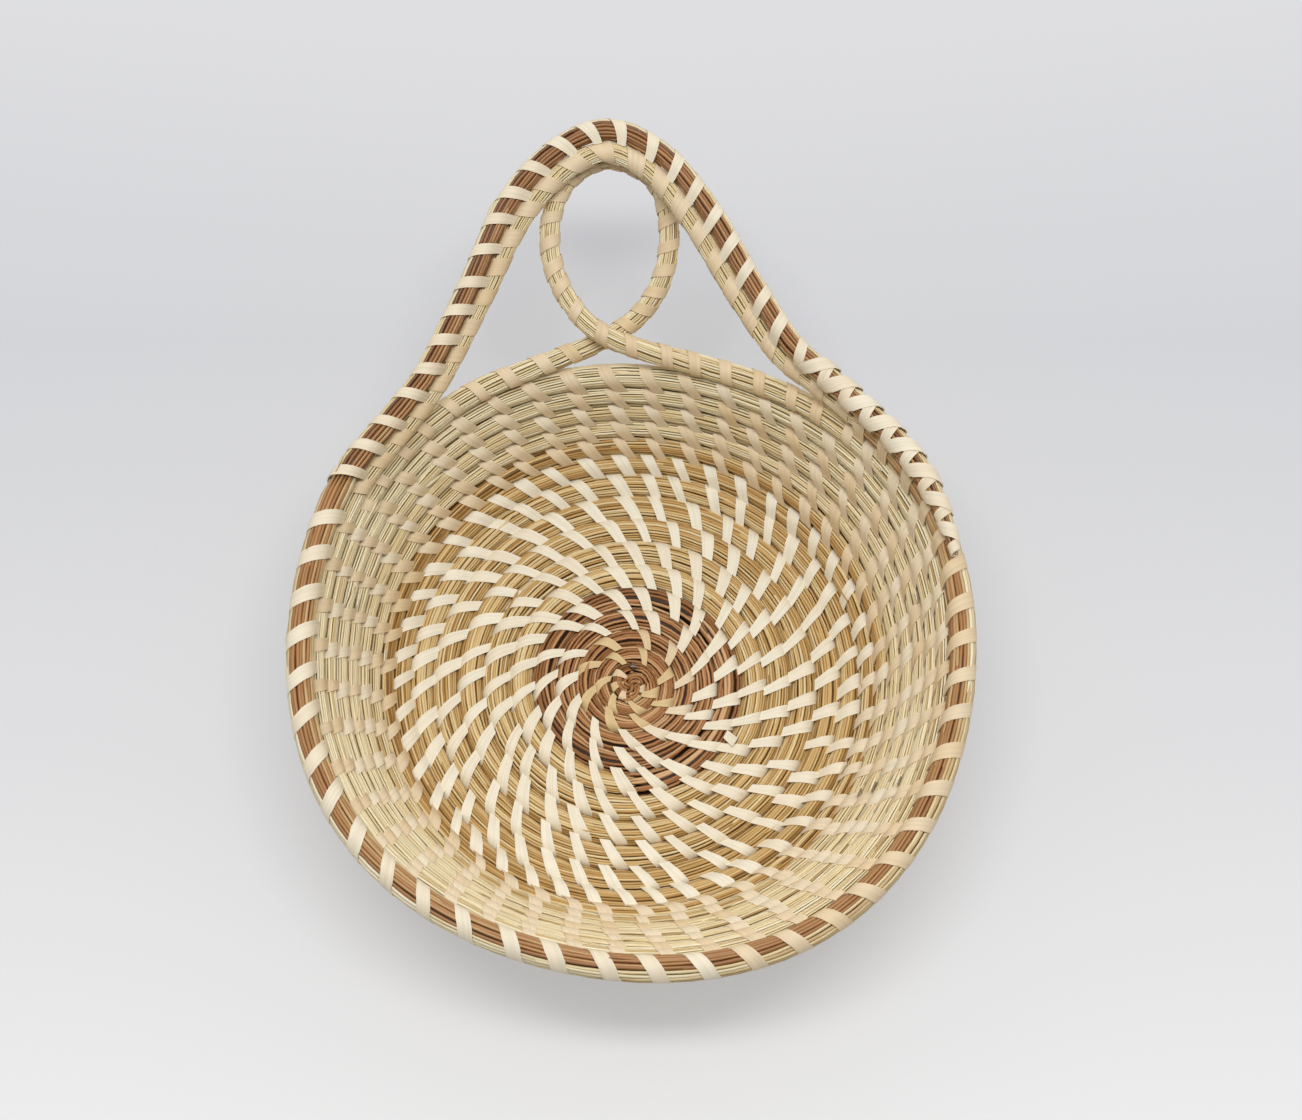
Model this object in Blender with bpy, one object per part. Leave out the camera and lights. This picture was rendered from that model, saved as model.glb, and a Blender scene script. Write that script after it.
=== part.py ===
"""A small round basket sewn from one long coil of grasses, with a loop handle.

The coil starts at a knot in the middle of the base and winds outwards, clockwise
seen from above, row beside row.  The first rows are flat and make the base, the
next ones climb and make the wall.  At the back the coil leaves the wall three
times: once to lie in a small loop that crosses itself, and twice, side by side,
to make the arched handle.  Its last stretch lies on its own start and tapers out.

The rows are one continuous bundle, but other plants are fed in on the way, so each
stretch of one plant, and each stretch that does another job, is a solid of its own.

Frame: metres, +Z up, the handle towards +Y.  The origin is the middle of the
base's underside.
"""

import math

import bmesh
import bpy
import numpy as np

# Counts of the mesh
TURN = 2.0 * math.pi
STATIONS_PER_TURN = 24
SIDES = 6
HANDLE_STATIONS = 30
LOOP_STATIONS = 30
KNOT_SEGMENTS = 16

# Fits between pieces
END_GAP = 0.0003
TOUCH_GAP = 0.0004
SEAT_CUT = 0.0005

# Row widths along the spiral, and the turns at which they hold
CENTRE_ROW_WIDTH = 0.00412
BASE_ROW_WIDTH = 0.00777
WALL_ROW_WIDTH = 0.00712
BASE_WIDTH_FROM_TURN = 5.0
BASE_WIDTH_TO_TURN = 9.0
WALL_WIDTH_FROM_TURN = 11.0
COIL_RADIUS_share = 0.483

# Section of the bowl that the row edges follow, from the knot to the rim
BASE_FLAT_RADIUS = 0.0582
BASE_BEND_RADIUS = 0.023
BASE_BEND_ANGLE = math.radians(56.4)
WALL_CURVE_RADIUS = 0.124
WALL_ANGLE = math.radians(63.9)

# How the hand-sewn wall leaves the true circle, full at the rim and nothing at the base
RIM_LEAN_X = 0.0014
RIM_LEAN_Y = -0.0033
RIM_SQUARENESS = 0.00145
RIM_SQUARE_ANGLE = math.radians(-10.3)
RIM_OVALNESS = 0.0012
RIM_OVAL_ANGLE = math.radians(20.0)

# Centre knot
KNOT_RADIUS = 0.0033
KNOT_GAP = 0.0004
KNOT_HEIGHT = 0.0042
KNOT_ROUNDING = 0.0010

# Rim coil, the thinner coils of the handle, and the tail
RIM_COIL_RADIUS = 0.0041
HANDLE_COIL_RADIUS = 0.0035
HANDLE_INNER_RADIUS = 0.0032
HANDLE_THINNING_share = 0.14
TAIL_END_RADIUS = 0.0014
TAIL_STACK_ANGLE = math.radians(85.0)

# Turns at which the coil changes its plant or its job.  The rows are counted from
# the +X side, and a stretch ends where its inner edge is at the turn given here.
START_TURN = -6 / STATIONS_PER_TURN
PINE_END_TURN = 4 + 6 / STATIONS_PER_TURN
BULRUSH_END_TURN = 10.0
EDGE_END_TURN = 11.0
WALL_END_TURN = 15 + 14 / STATIONS_PER_TURN
LOOP_LEAVE_TURN = 15 + 16 / STATIONS_PER_TURN
LOOP_RETURN_TURN = 15 + 19 / STATIONS_PER_TURN
LOOP_ROW_END_TURN = 15 + 21 / STATIONS_PER_TURN
HANDLE_LEAVE_TURN = 16 + 14 / STATIONS_PER_TURN
RIM_START_TURN = 16 + 21 / STATIONS_PER_TURN
RIM_FULL_TURN = 17.0
RIM_END_TURN = 17 + 14 / STATIONS_PER_TURN
TAIL_START_TURN = 17 + 21 / STATIONS_PER_TURN
TAIL_TAPER_TURN = 17 + 22 / STATIONS_PER_TURN
TAIL_END_TURN = 17 + 23 / STATIONS_PER_TURN

# Handle: its outer coil as shares of the way between its feet, of its reach and of its
# lift, with the direction from the inner coil to the outer one, as degrees above level
HANDLE_REACH = 0.0957
HANDLE_LIFT = 0.0211
HANDLE_SLOPE = math.radians(16.0)
HANDLE_OUTLINE_shares = (
    (0.104, 0.215, 0.05, 64.0),
    (0.158, 0.336, 0.12, 60.0),
    (0.233, 0.576, 0.38, 51.0),
    (0.301, 0.804, 0.69, 37.0),
    (0.391, 0.950, 0.91, 23.0),
    (0.497, 1.000, 1.00, 16.0),
    (0.604, 0.905, 0.91, 18.0),
    (0.694, 0.718, 0.69, 26.0),
    (0.783, 0.455, 0.38, 41.0),
    (0.850, 0.269, 0.18, 58.0),
    (0.909, 0.163, 0.07, 74.0),
)

# Loop: its outline in its own plane, from the crossing round the right side, the top
# and the left side back to the crossing, as shares of its half width and its height
LOOP_COIL_RADIUS = 0.0032
LOOP_HALF_WIDTH = 0.0184
LOOP_CROSSING_OUT = 0.0123
LOOP_CROSSING_UP = 0.0043
LOOP_CROSSING_share = 0.547
LOOP_TUCK = 0.0006
LOOP_UNDER_HANDLE_GAP = 0.0018
LOOP_OUTLINE_shares = (
    (0.00, 0.00),
    (0.78, 0.24),
    (1.02, 0.56),
    (0.80, 0.87),
    (0.00, 1.00),
    (-0.72, 0.86),
    (-0.97, 0.58),
    (-0.76, 0.27),
    (0.00, 0.00),
)

# Colours as linear values
PINE_COLOUR = (0.27, 0.12, 0.06)
BULRUSH_COLOUR = (0.50, 0.34, 0.15)
EDGE_COLOUR = (0.44, 0.27, 0.11)
SWEETGRASS_COLOUR = (0.64, 0.52, 0.31)
RIM_COLOUR = (0.34, 0.17, 0.09)


def vector(x, y, z):
    """Return a point or direction as an array."""
    return np.array((x, y, z), dtype=float)


def unit(direction):
    """Return a direction scaled to length one."""
    return direction / np.linalg.norm(direction)


def row_width(turn):
    """Return the width of the coil's row where its inner edge is at this turn."""
    turns = (0.0, BASE_WIDTH_FROM_TURN, BASE_WIDTH_TO_TURN, WALL_WIDTH_FROM_TURN)
    widths = (CENTRE_ROW_WIDTH, BASE_ROW_WIDTH, BASE_ROW_WIDTH, WALL_ROW_WIDTH)
    return float(np.interp(turn, turns, widths))


def edge_distance(turn):
    """Return how far the row's inner edge is from the middle, measured along the bowl."""
    marks = (0.0, BASE_WIDTH_FROM_TURN, BASE_WIDTH_TO_TURN, WALL_WIDTH_FROM_TURN)
    distance = KNOT_RADIUS + KNOT_GAP + CENTRE_ROW_WIDTH * (min(turn, 0.0) - START_TURN)
    for start, end in zip(marks, marks[1:] + (math.inf,)):
        length = min(turn, end) - start
        if length > 0.0:
            distance += length * (row_width(start) + row_width(start + length)) / 2.0
    return distance


def bowl_section(distance):
    """Return the radius, height and slope of the bowl at a distance from its middle."""
    radius = min(distance, BASE_FLAT_RADIUS)
    height = 0.0
    slope = 0.0
    left = distance - BASE_FLAT_RADIUS
    if left > 0.0:
        slope = min(left / BASE_BEND_RADIUS, BASE_BEND_ANGLE)
        radius += BASE_BEND_RADIUS * math.sin(slope)
        height += BASE_BEND_RADIUS * (1.0 - math.cos(slope))
        left -= BASE_BEND_RADIUS * BASE_BEND_ANGLE
    if left > 0.0:
        start = slope
        slope = min(start + left / WALL_CURVE_RADIUS, WALL_ANGLE)
        radius += WALL_CURVE_RADIUS * (math.sin(slope) - math.sin(start))
        height += WALL_CURVE_RADIUS * (math.cos(start) - math.cos(slope))
        left -= WALL_CURVE_RADIUS * (WALL_ANGLE - start)
    if left > 0.0:
        radius += left * math.cos(slope)
        height += left * math.sin(slope)
    return radius, height, slope


def coil_radius(turn):
    """Return the radius of the coil whose inner edge is at this turn."""
    width = edge_distance(turn + 1.0) - edge_distance(turn)
    return COIL_RADIUS_share * width


def seat_height(turn):
    """Return how high the middle of the coil stands over the ground where the bowl is flat."""
    return coil_radius(min(turn, BASE_WIDTH_TO_TURN - 1.0)) - SEAT_CUT


WALL_COIL_RADIUS = coil_radius(WALL_WIDTH_FROM_TURN)
RIM_RISE = bowl_section(edge_distance(RIM_FULL_TURN))[1]


class Station:
    """One ring of the coil: its middle, the direction of its upper corner, and its radius."""

    def __init__(self, middle, up, radius):
        self.middle = middle
        self.up = up
        self.radius = radius


def station_at(turn, distance, radius):
    """Return the ring at a turn and at a distance from the middle along the bowl."""
    angle = -TURN * turn
    across, height, slope = bowl_section(distance)
    rise_share = height / RIM_RISE
    across -= rise_share * RIM_SQUARENESS * math.cos(4.0 * (angle - RIM_SQUARE_ANGLE))
    across -= rise_share * RIM_OVALNESS * math.cos(2.0 * (angle - RIM_OVAL_ANGLE))
    outward = vector(math.cos(angle), math.sin(angle), 0.0)
    upward = vector(0.0, 0.0, 1.0)
    lean = vector(RIM_LEAN_X, RIM_LEAN_Y, 0.0) * rise_share
    middle = outward * across + upward * (height + seat_height(turn)) + lean
    up = upward * math.cos(slope) - outward * math.sin(slope)
    return Station(middle, up, radius)


def row_station(turn):
    """Return the ring of an ordinary row of the base or the wall."""
    width = edge_distance(turn + 1.0) - edge_distance(turn)
    return station_at(turn, edge_distance(turn) + width / 2.0, coil_radius(turn))


def rim_station(turn):
    """Return the ring of the rim coil, which thickens from the handle's inner coil."""
    turns = (RIM_START_TURN, RIM_FULL_TURN)
    radius = float(np.interp(turn, turns, (WALL_COIL_RADIUS, RIM_COIL_RADIUS)))
    return station_at(turn, edge_distance(turn) + radius / COIL_RADIUS_share / 2.0, radius)


def turns_between(start, end):
    """Return the turns of the rings from one turn to another, both among them."""
    first = round(start * STATIONS_PER_TURN)
    last = round(end * STATIONS_PER_TURN)
    return [step / STATIONS_PER_TURN for step in range(first, last + 1)]


def stack_direction(middle, degrees):
    """Return the direction out of the bowl and up, at an angle above level."""
    outward = unit(vector(middle[0], middle[1], 0.0))
    angle = math.radians(degrees)
    return outward * math.cos(angle) + vector(0.0, 0.0, math.sin(angle))


def tail_station(turn):
    """Return the ring of the tail, which lies on the rim's start one turn earlier."""
    carrier = rim_station(turn - 1.0)
    turns = (TAIL_TAPER_TURN, TAIL_END_TURN)
    radius = float(np.interp(turn, turns, (HANDLE_COIL_RADIUS, TAIL_END_RADIUS)))
    direction = stack_direction(carrier.middle, math.degrees(TAIL_STACK_ANGLE))
    apart = carrier.radius + radius + TOUCH_GAP
    return Station(carrier.middle + direction * apart, carrier.up, radius)


def smooth_curve(points, spans, count):
    """Return evenly spaced values on a smooth curve through rows of values.

    The first and last rows only steer the curve's ends.  The first three values of a
    row are a place, and their spacing sets the pace.  Spans are the rows that the
    curve runs between.
    """
    rows = [np.array(row, dtype=float) for row in points]
    samples = []
    steps = 40
    for index in range(spans[0], spans[1]):
        before, start, end, after = rows[index - 1:index + 3]
        for step in range(steps):
            share = step / steps
            samples.append(0.5 * (2.0 * start + (end - before) * share
                                  + (2.0 * before - 5.0 * start + 4.0 * end - after) * share ** 2
                                  + (3.0 * start - before - 3.0 * end + after) * share ** 3))
    samples.append(rows[spans[1]])
    samples = np.array(samples)
    lengths = np.linalg.norm(np.diff(samples[:, :3], axis=0), axis=1)
    travelled = np.concatenate(([0.0], np.cumsum(lengths)))
    wanted = np.linspace(0.0, travelled[-1], count + 1)
    columns = [np.interp(wanted, travelled, samples[:, column]) for column in range(samples.shape[1])]
    return np.array(columns).T


def handle_controls():
    """Return the places and stack angles that steer the handle's outer coil."""
    first_foot = rim_station(RIM_END_TURN).middle
    last_foot = tail_station(TAIL_START_TURN).middle
    wall_degrees = math.degrees(WALL_ANGLE)
    tail_degrees = math.degrees(TAIL_STACK_ANGLE)
    step = 1 / STATIONS_PER_TURN
    controls = [(*rim_station(turn).middle, wall_degrees) for turn in (RIM_END_TURN - step, RIM_END_TURN)]
    for way_share, reach_share, lift_share, degrees in HANDLE_OUTLINE_shares:
        place = first_foot + (last_foot - first_foot) * way_share
        place = place + vector(0.0, HANDLE_REACH * reach_share, HANDLE_LIFT * lift_share)
        controls.append((*place, degrees))
    for turn in (TAIL_START_TURN, TAIL_START_TURN + step):
        controls.append((*tail_station(turn).middle, tail_degrees))
    return controls


def handle_stations():
    """Return the rings of the handle's outer coil and of its inner coil, end to end."""
    controls = handle_controls()
    rows = smooth_curve(controls, (1, len(controls) - 2), HANDLE_STATIONS)
    outer = []
    inner = []
    shares = np.linspace(0.0, 1.0, len(rows))
    ends = (0.0, HANDLE_THINNING_share, 1.0 - HANDLE_THINNING_share, 1.0)
    outer_radii = np.interp(shares, ends[:2], (RIM_COIL_RADIUS, HANDLE_COIL_RADIUS))
    inner_radii = np.interp(shares, ends, (WALL_COIL_RADIUS, HANDLE_INNER_RADIUS,
                                           HANDLE_INNER_RADIUS, WALL_COIL_RADIUS))
    for index, row in enumerate(rows):
        middle = row[:3]
        neighbours = rows[max(index - 1, 0)], rows[min(index + 1, len(rows) - 1)]
        along = unit(neighbours[1][:3] - neighbours[0][:3])
        level = unit(np.cross(vector(0.0, 0.0, 1.0), along))
        angle = math.radians(row[3])
        stack = level * math.cos(angle) + vector(0.0, 0.0, math.sin(angle))
        up = unit(np.cross(along, stack))
        outer_radius = float(outer_radii[index])
        inner_radius = float(inner_radii[index])
        outer.append(Station(middle, up, outer_radius))
        inner.append(Station(middle - stack * (outer_radius + inner_radius), up, inner_radius))
    inner[0] = row_station(HANDLE_LEAVE_TURN)
    inner[-1] = rim_station(RIM_START_TURN)
    return outer, inner


def loop_stations(handle_top):
    """Return the rings of the loop, from the row it leaves to the row it returns to."""
    slope_up = vector(0.0, -math.sin(HANDLE_SLOPE), math.cos(HANDLE_SLOPE))
    leave = row_station(LOOP_LEAVE_TURN)
    back = row_station(LOOP_RETURN_TURN)
    crossing = leave.middle + (back.middle - leave.middle) * LOOP_CROSSING_share
    crossing = crossing + vector(0.0, LOOP_CROSSING_OUT, LOOP_CROSSING_UP)
    below = HANDLE_INNER_RADIUS + LOOP_COIL_RADIUS + LOOP_UNDER_HANDLE_GAP
    top = handle_top - slope_up * below - vector(0.0, LOOP_TUCK, 0.0)
    rise = top - crossing
    height = np.linalg.norm(rise)
    ahead = rise / height
    across = unit(np.cross(ahead, slope_up))
    normal = unit(np.cross(across, ahead))
    half_step = LOOP_COIL_RADIUS + TOUCH_GAP
    step = 1 / STATIONS_PER_TURN
    before = row_station(LOOP_LEAVE_TURN - step)
    after = row_station(LOOP_RETURN_TURN + step)
    rows = [(*before.middle, *before.up, before.radius), (*leave.middle, *leave.up, leave.radius)]
    last = len(LOOP_OUTLINE_shares) - 1
    for index, (x_share, y_share) in enumerate(LOOP_OUTLINE_shares):
        over = half_step * (2.0 * index / last - 1.0)
        place = crossing + across * (x_share * LOOP_HALF_WIDTH) + ahead * (y_share * height)
        rows.append((*(place + normal * over), *normal, LOOP_COIL_RADIUS))
    rows += [(*back.middle, *back.up, back.radius), (*after.middle, *after.up, after.radius)]
    curve = smooth_curve(rows, (1, len(rows) - 2), LOOP_STATIONS)
    return [Station(row[:3], unit(row[3:6]), row[6]) for row in curve]


def make_material(name, colour, roughness):
    """Return a plain material of one colour."""
    material = bpy.data.materials.new(name)
    material.use_nodes = True
    shader = material.node_tree.nodes["Principled BSDF"]
    shader.inputs["Base Color"].default_value = (*colour, 1.0)
    shader.inputs["Roughness"].default_value = roughness
    shader.inputs["Metallic"].default_value = 0.0
    return material


def section_points(radius, has_seat):
    """Return the outline of the coil's section, with a corner up and a corner or a seat down."""
    corners = []
    for side in range(SIDES):
        angle = TURN * side / SIDES + TURN / 4.0
        corner = (radius * math.cos(angle), radius * math.sin(angle))
        if has_seat and side == SIDES // 2:
            half_seat = SEAT_CUT * math.tan(TURN / SIDES)
            corners += [(-half_seat, SEAT_CUT - radius), (half_seat, SEAT_CUT - radius)]
        else:
            corners.append(corner)
    return corners


def coil_rings(stations, has_seat):
    """Return the corner points of each ring but the first and last, which only steer."""
    rings = []
    for before, here, after in zip(stations, stations[1:], stations[2:]):
        along = unit(unit(after.middle - here.middle) + unit(here.middle - before.middle))
        side = unit(np.cross(here.up, along))
        up = np.cross(along, side)
        middle = here.middle.copy()
        if before is stations[0]:
            middle = middle + along * (END_GAP / 2.0)
        if after is stations[-1]:
            middle = middle - along * (END_GAP / 2.0)
        rings.append([middle + side * x + up * y for x, y in section_points(here.radius, has_seat)])
    return rings


def least_gap(rings):
    """Return the least distance between corners of a coil that lie half a turn apart or more."""
    points = np.array(rings)
    away = STATIONS_PER_TURN // 2
    least = math.inf
    for index in range(len(points) - away):
        rest = points[index + away:].reshape(-1, 3)
        for corner in points[index]:
            least = min(least, float(np.linalg.norm(rest - corner, axis=1).min()))
    return least


def make_coil(name, stations, material, has_seat=False):
    """Make one unbroken tube along a run of rings and return its object."""
    rings = coil_rings(stations, has_seat)
    mesh = bmesh.new()
    corners = [[mesh.verts.new(point) for point in ring] for ring in rings]
    count = len(corners[0])
    for lower, upper in zip(corners, corners[1:]):
        for side in range(count):
            following = (side + 1) % count
            mesh.faces.new((lower[side], lower[following], upper[following], upper[side]))
    mesh.faces.new(tuple(reversed(corners[0])))
    mesh.faces.new(tuple(corners[-1]))
    bmesh.ops.recalc_face_normals(mesh, faces=mesh.faces)
    if len(rings) > STATIONS_PER_TURN:
        print(name, "least gap to itself in metres", round(least_gap(rings), 6))
    return finish(name, mesh, material)


def finish(name, mesh, material):
    """Turn a bmesh into an object with its material and smooth shading."""
    data = bpy.data.meshes.new(name)
    mesh.to_mesh(data)
    mesh.free()
    data.materials.append(material)
    data.shade_smooth()
    data.set_sharp_from_angle(angle=TURN / SIDES / 2.0)
    item = bpy.data.objects.new(name, data)
    bpy.context.scene.collection.objects.link(item)
    return item


def make_knot(material):
    """Make the knot of needles that the coil starts from, flat underneath."""
    mesh = bmesh.new()
    bmesh.ops.create_cone(mesh, cap_ends=True, segments=KNOT_SEGMENTS,
                          radius1=KNOT_RADIUS, radius2=KNOT_RADIUS, depth=KNOT_HEIGHT)
    bmesh.ops.translate(mesh, verts=mesh.verts, vec=(0.0, 0.0, KNOT_HEIGHT / 2.0))
    top_edges = [edge for edge in mesh.edges
                 if min(vert.co.z for vert in edge.verts) > KNOT_HEIGHT / 2.0]
    bmesh.ops.bevel(mesh, geom=top_edges, offset=KNOT_ROUNDING, segments=2, profile=0.5,
                    affect="EDGES")
    return finish("center_knot", mesh, material)


def run(stations, start, end):
    """Return the rings from one to another, with a steering ring at each end."""
    return stations[start - 1:end + 2]


def main():
    """Build every stretch of the basket."""
    for item in list(bpy.data.objects):
        bpy.data.objects.remove(item, do_unlink=True)

    pine = make_material("pine_needle", PINE_COLOUR, 0.55)
    bulrush = make_material("bulrush", BULRUSH_COLOUR, 0.60)
    edge = make_material("bulrush_and_pine", EDGE_COLOUR, 0.60)
    sweetgrass = make_material("sweetgrass", SWEETGRASS_COLOUR, 0.55)
    striped = make_material("pine_and_sweetgrass", RIM_COLOUR, 0.55)

    step = 1 / STATIONS_PER_TURN
    outer, inner = handle_stations()
    handle_top = max((ring.middle for ring in inner), key=lambda place: place[2])
    loop = loop_stations(handle_top)

    base_turns = turns_between(START_TURN - step, LOOP_LEAVE_TURN)
    coil = [row_station(turn) for turn in base_turns]
    marks = {"start": 1}
    for label, turn in (("pine", PINE_END_TURN), ("bulrush", BULRUSH_END_TURN),
                        ("edge", EDGE_END_TURN), ("wall", WALL_END_TURN)):
        marks[label] = round((turn - base_turns[0]) * STATIONS_PER_TURN)
    coil += loop[1:]
    coil += [row_station(turn) for turn in turns_between(LOOP_RETURN_TURN, HANDLE_LEAVE_TURN)[1:]]
    marks["loop"] = len(coil) - 1 - round((HANDLE_LEAVE_TURN - LOOP_ROW_END_TURN) * STATIONS_PER_TURN)
    marks["top_row"] = len(coil) - 1
    coil += inner[1:]
    marks["handle_inner"] = len(coil) - 1
    coil += [rim_station(turn) for turn in turns_between(RIM_START_TURN, RIM_END_TURN)[1:]]
    marks["rim"] = len(coil) - 1
    coil += outer[1:]
    marks["handle_outer"] = len(coil) - 1
    coil += [tail_station(turn) for turn in turns_between(TAIL_START_TURN, TAIL_END_TURN + step)[1:]]
    marks["tail"] = len(coil) - 2

    make_knot(pine)
    make_coil("pine_needle_coil", run(coil, marks["start"], marks["pine"]), pine, True)
    make_coil("bulrush_coil", run(coil, marks["pine"], marks["bulrush"]), bulrush, True)
    make_coil("base_edge_coil", run(coil, marks["bulrush"], marks["edge"]), edge)
    make_coil("wall_coil", run(coil, marks["edge"], marks["wall"]), sweetgrass)
    make_coil("loop_coil", run(coil, marks["wall"], marks["loop"]), sweetgrass)
    make_coil("top_row_coil", run(coil, marks["loop"], marks["top_row"]), sweetgrass)
    make_coil("handle_inner_coil", run(coil, marks["top_row"], marks["handle_inner"]), sweetgrass)
    make_coil("rim_coil", run(coil, marks["handle_inner"], marks["rim"]), striped)
    make_coil("handle_outer_coil", run(coil, marks["rim"], marks["handle_outer"]), striped)
    make_coil("rim_tail", run(coil, marks["handle_outer"], marks["tail"]), striped)


if __name__ == "__main__":
    main()
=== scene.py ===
"""Looks of a small round basket sewn from one long coil of grasses, with a loop handle.

The coil is a bundle of pine needles in the middle of the base, of bulrush in the rest of
it and of sweetgrass in the wall.  Strips of palmetto leaf sew each row to the one before.
The rim and the handle carry a stripe of brown needles, and the coil's tapered end is
lashed down with crossed strips.

Every bundle is made of single blades that follow the coil, pinched where a strip goes
round it.  Every strip is a flat ribbon that is bent round its bundle.
"""

import logging
import math
from dataclasses import dataclass
from enum import Enum

import bmesh
import bpy
import numpy as np
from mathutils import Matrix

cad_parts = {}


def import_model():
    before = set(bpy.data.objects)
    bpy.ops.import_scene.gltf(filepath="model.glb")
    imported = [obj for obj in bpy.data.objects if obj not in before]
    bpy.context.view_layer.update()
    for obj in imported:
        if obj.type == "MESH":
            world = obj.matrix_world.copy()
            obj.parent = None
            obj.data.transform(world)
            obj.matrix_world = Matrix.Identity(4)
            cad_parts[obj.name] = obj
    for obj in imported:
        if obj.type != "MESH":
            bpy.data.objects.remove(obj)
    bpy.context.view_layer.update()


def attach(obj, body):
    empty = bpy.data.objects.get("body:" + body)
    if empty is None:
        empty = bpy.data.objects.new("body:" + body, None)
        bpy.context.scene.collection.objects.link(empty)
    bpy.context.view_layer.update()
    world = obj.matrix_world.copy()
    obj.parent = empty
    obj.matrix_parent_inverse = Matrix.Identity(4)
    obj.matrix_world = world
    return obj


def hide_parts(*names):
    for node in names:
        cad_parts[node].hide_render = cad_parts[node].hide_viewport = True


LOG = logging.getLogger("basket")

TURN = 2.0 * math.pi
MM = 0.001


def linear(hex_colour: str) -> tuple[float, float, float, float]:
    """Turn an sRGB hex colour into linear values.

    Args:
        hex_colour: Colour such as "#C9B07A".

    Returns:
        Red, green, blue and alpha, as linear values.
    """
    channels = (int(hex_colour[start:start + 2], 16) / 255.0 for start in (1, 3, 5))
    values = [c / 12.92 if c <= 0.04045 else ((c + 0.055) / 1.055) ** 2.4 for c in channels]
    return (values[0], values[1], values[2], 1.0)


def add_node(tree: bpy.types.NodeTree, kind: str, settings: dict | None = None,
             **inputs: object) -> bpy.types.Node:
    """Add a node to a tree, set it up and link it.

    Args:
        tree: Node tree of a material or of the world.
        kind: Node type, such as "ShaderNodeMath".
        settings: Attributes of the node itself.
        **inputs: Socket names, with spaces as underscores, or input_0 and the like for a
            place in the list.  A value that is a socket is linked, any other is set.

    Returns:
        The new node.
    """
    node = tree.nodes.new(kind)
    for key, value in (settings or {}).items():
        setattr(node, key, value)
    for key, value in inputs.items():
        place = int(key[6:]) if key.startswith("input_") else key.replace("_", " ")
        if isinstance(value, bpy.types.NodeSocket):
            tree.links.new(value, node.inputs[place])
        else:
            node.inputs[place].default_value = value
    return node


def add_ramp(tree: bpy.types.NodeTree, factor: bpy.types.NodeSocket,
             colours: tuple[str, ...]) -> bpy.types.Node:
    """Add a colour ramp with evenly spaced colours.

    Args:
        tree: Node tree of a material.
        factor: Socket that picks the colour.
        colours: Hex colours from the low end to the high end.

    Returns:
        The ramp node.
    """
    ramp = add_node(tree, "ShaderNodeValToRGB", Fac=factor)
    elements = ramp.color_ramp.elements
    elements[1].position = 1.0
    for index in range(1, len(colours) - 1):
        elements.new(index / (len(colours) - 1))
    for element, colour in zip(elements, colours):
        element.color = linear(colour)
    return ramp


class Plant(Enum):
    """Plants that the bundles are made of."""

    PINE = "pine"
    BULRUSH = "bulrush"
    EDGE = "edge"
    SWEETGRASS = "sweetgrass"
    STRIPED = "striped"


@dataclass(frozen=True)
class BladeFinish:
    """Dried blades or needles laid side by side, each of its own tone.

    The tone of a blade is the mesh attribute "tone".  It is mottled a little along the
    blade, and a fine grain runs through it.
    """

    name: str
    colours: tuple[str, ...]
    roughness: float = 0.5
    gloss: float = 0.25
    mottle: float = 0.12
    mottle_length: float = 9.0 * MM
    grain_width: float = 0.3 * MM

    def material(self) -> bpy.types.Material:
        """Build the material and return it."""
        material = bpy.data.materials.new(self.name)
        material.use_nodes = True
        tree = material.node_tree
        shader = tree.nodes["Principled BSDF"]
        tone = add_node(tree, "ShaderNodeAttribute", {"attribute_name": "tone"})
        place = add_node(tree, "ShaderNodeTexCoord")
        mottling = add_node(tree, "ShaderNodeTexNoise", Vector=place.outputs["Object"],
                            Scale=1.0 / self.mottle_length, Detail=3.0)
        shifted = add_node(tree, "ShaderNodeMath", {"operation": "MULTIPLY_ADD"},
                           input_0=mottling.outputs["Fac"], input_1=self.mottle * 2.0,
                           input_2=tone.outputs["Fac"])
        centred = add_node(tree, "ShaderNodeMath", {"operation": "SUBTRACT"},
                           input_0=shifted.outputs[0], input_1=self.mottle)
        ramp = add_ramp(tree, centred.outputs[0], self.colours)
        tree.links.new(ramp.outputs["Color"], shader.inputs["Base Color"])
        grain = add_node(tree, "ShaderNodeTexNoise", Vector=place.outputs["Object"],
                         Scale=1.0 / self.grain_width, Detail=2.0)
        bump = add_node(tree, "ShaderNodeBump", Height=grain.outputs["Fac"], Strength=0.25,
                        Distance=0.1 * MM)
        tree.links.new(bump.outputs["Normal"], shader.inputs["Normal"])
        shader.inputs["Roughness"].default_value = self.roughness
        shader.inputs["Specular IOR Level"].default_value = self.gloss
        return material


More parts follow.
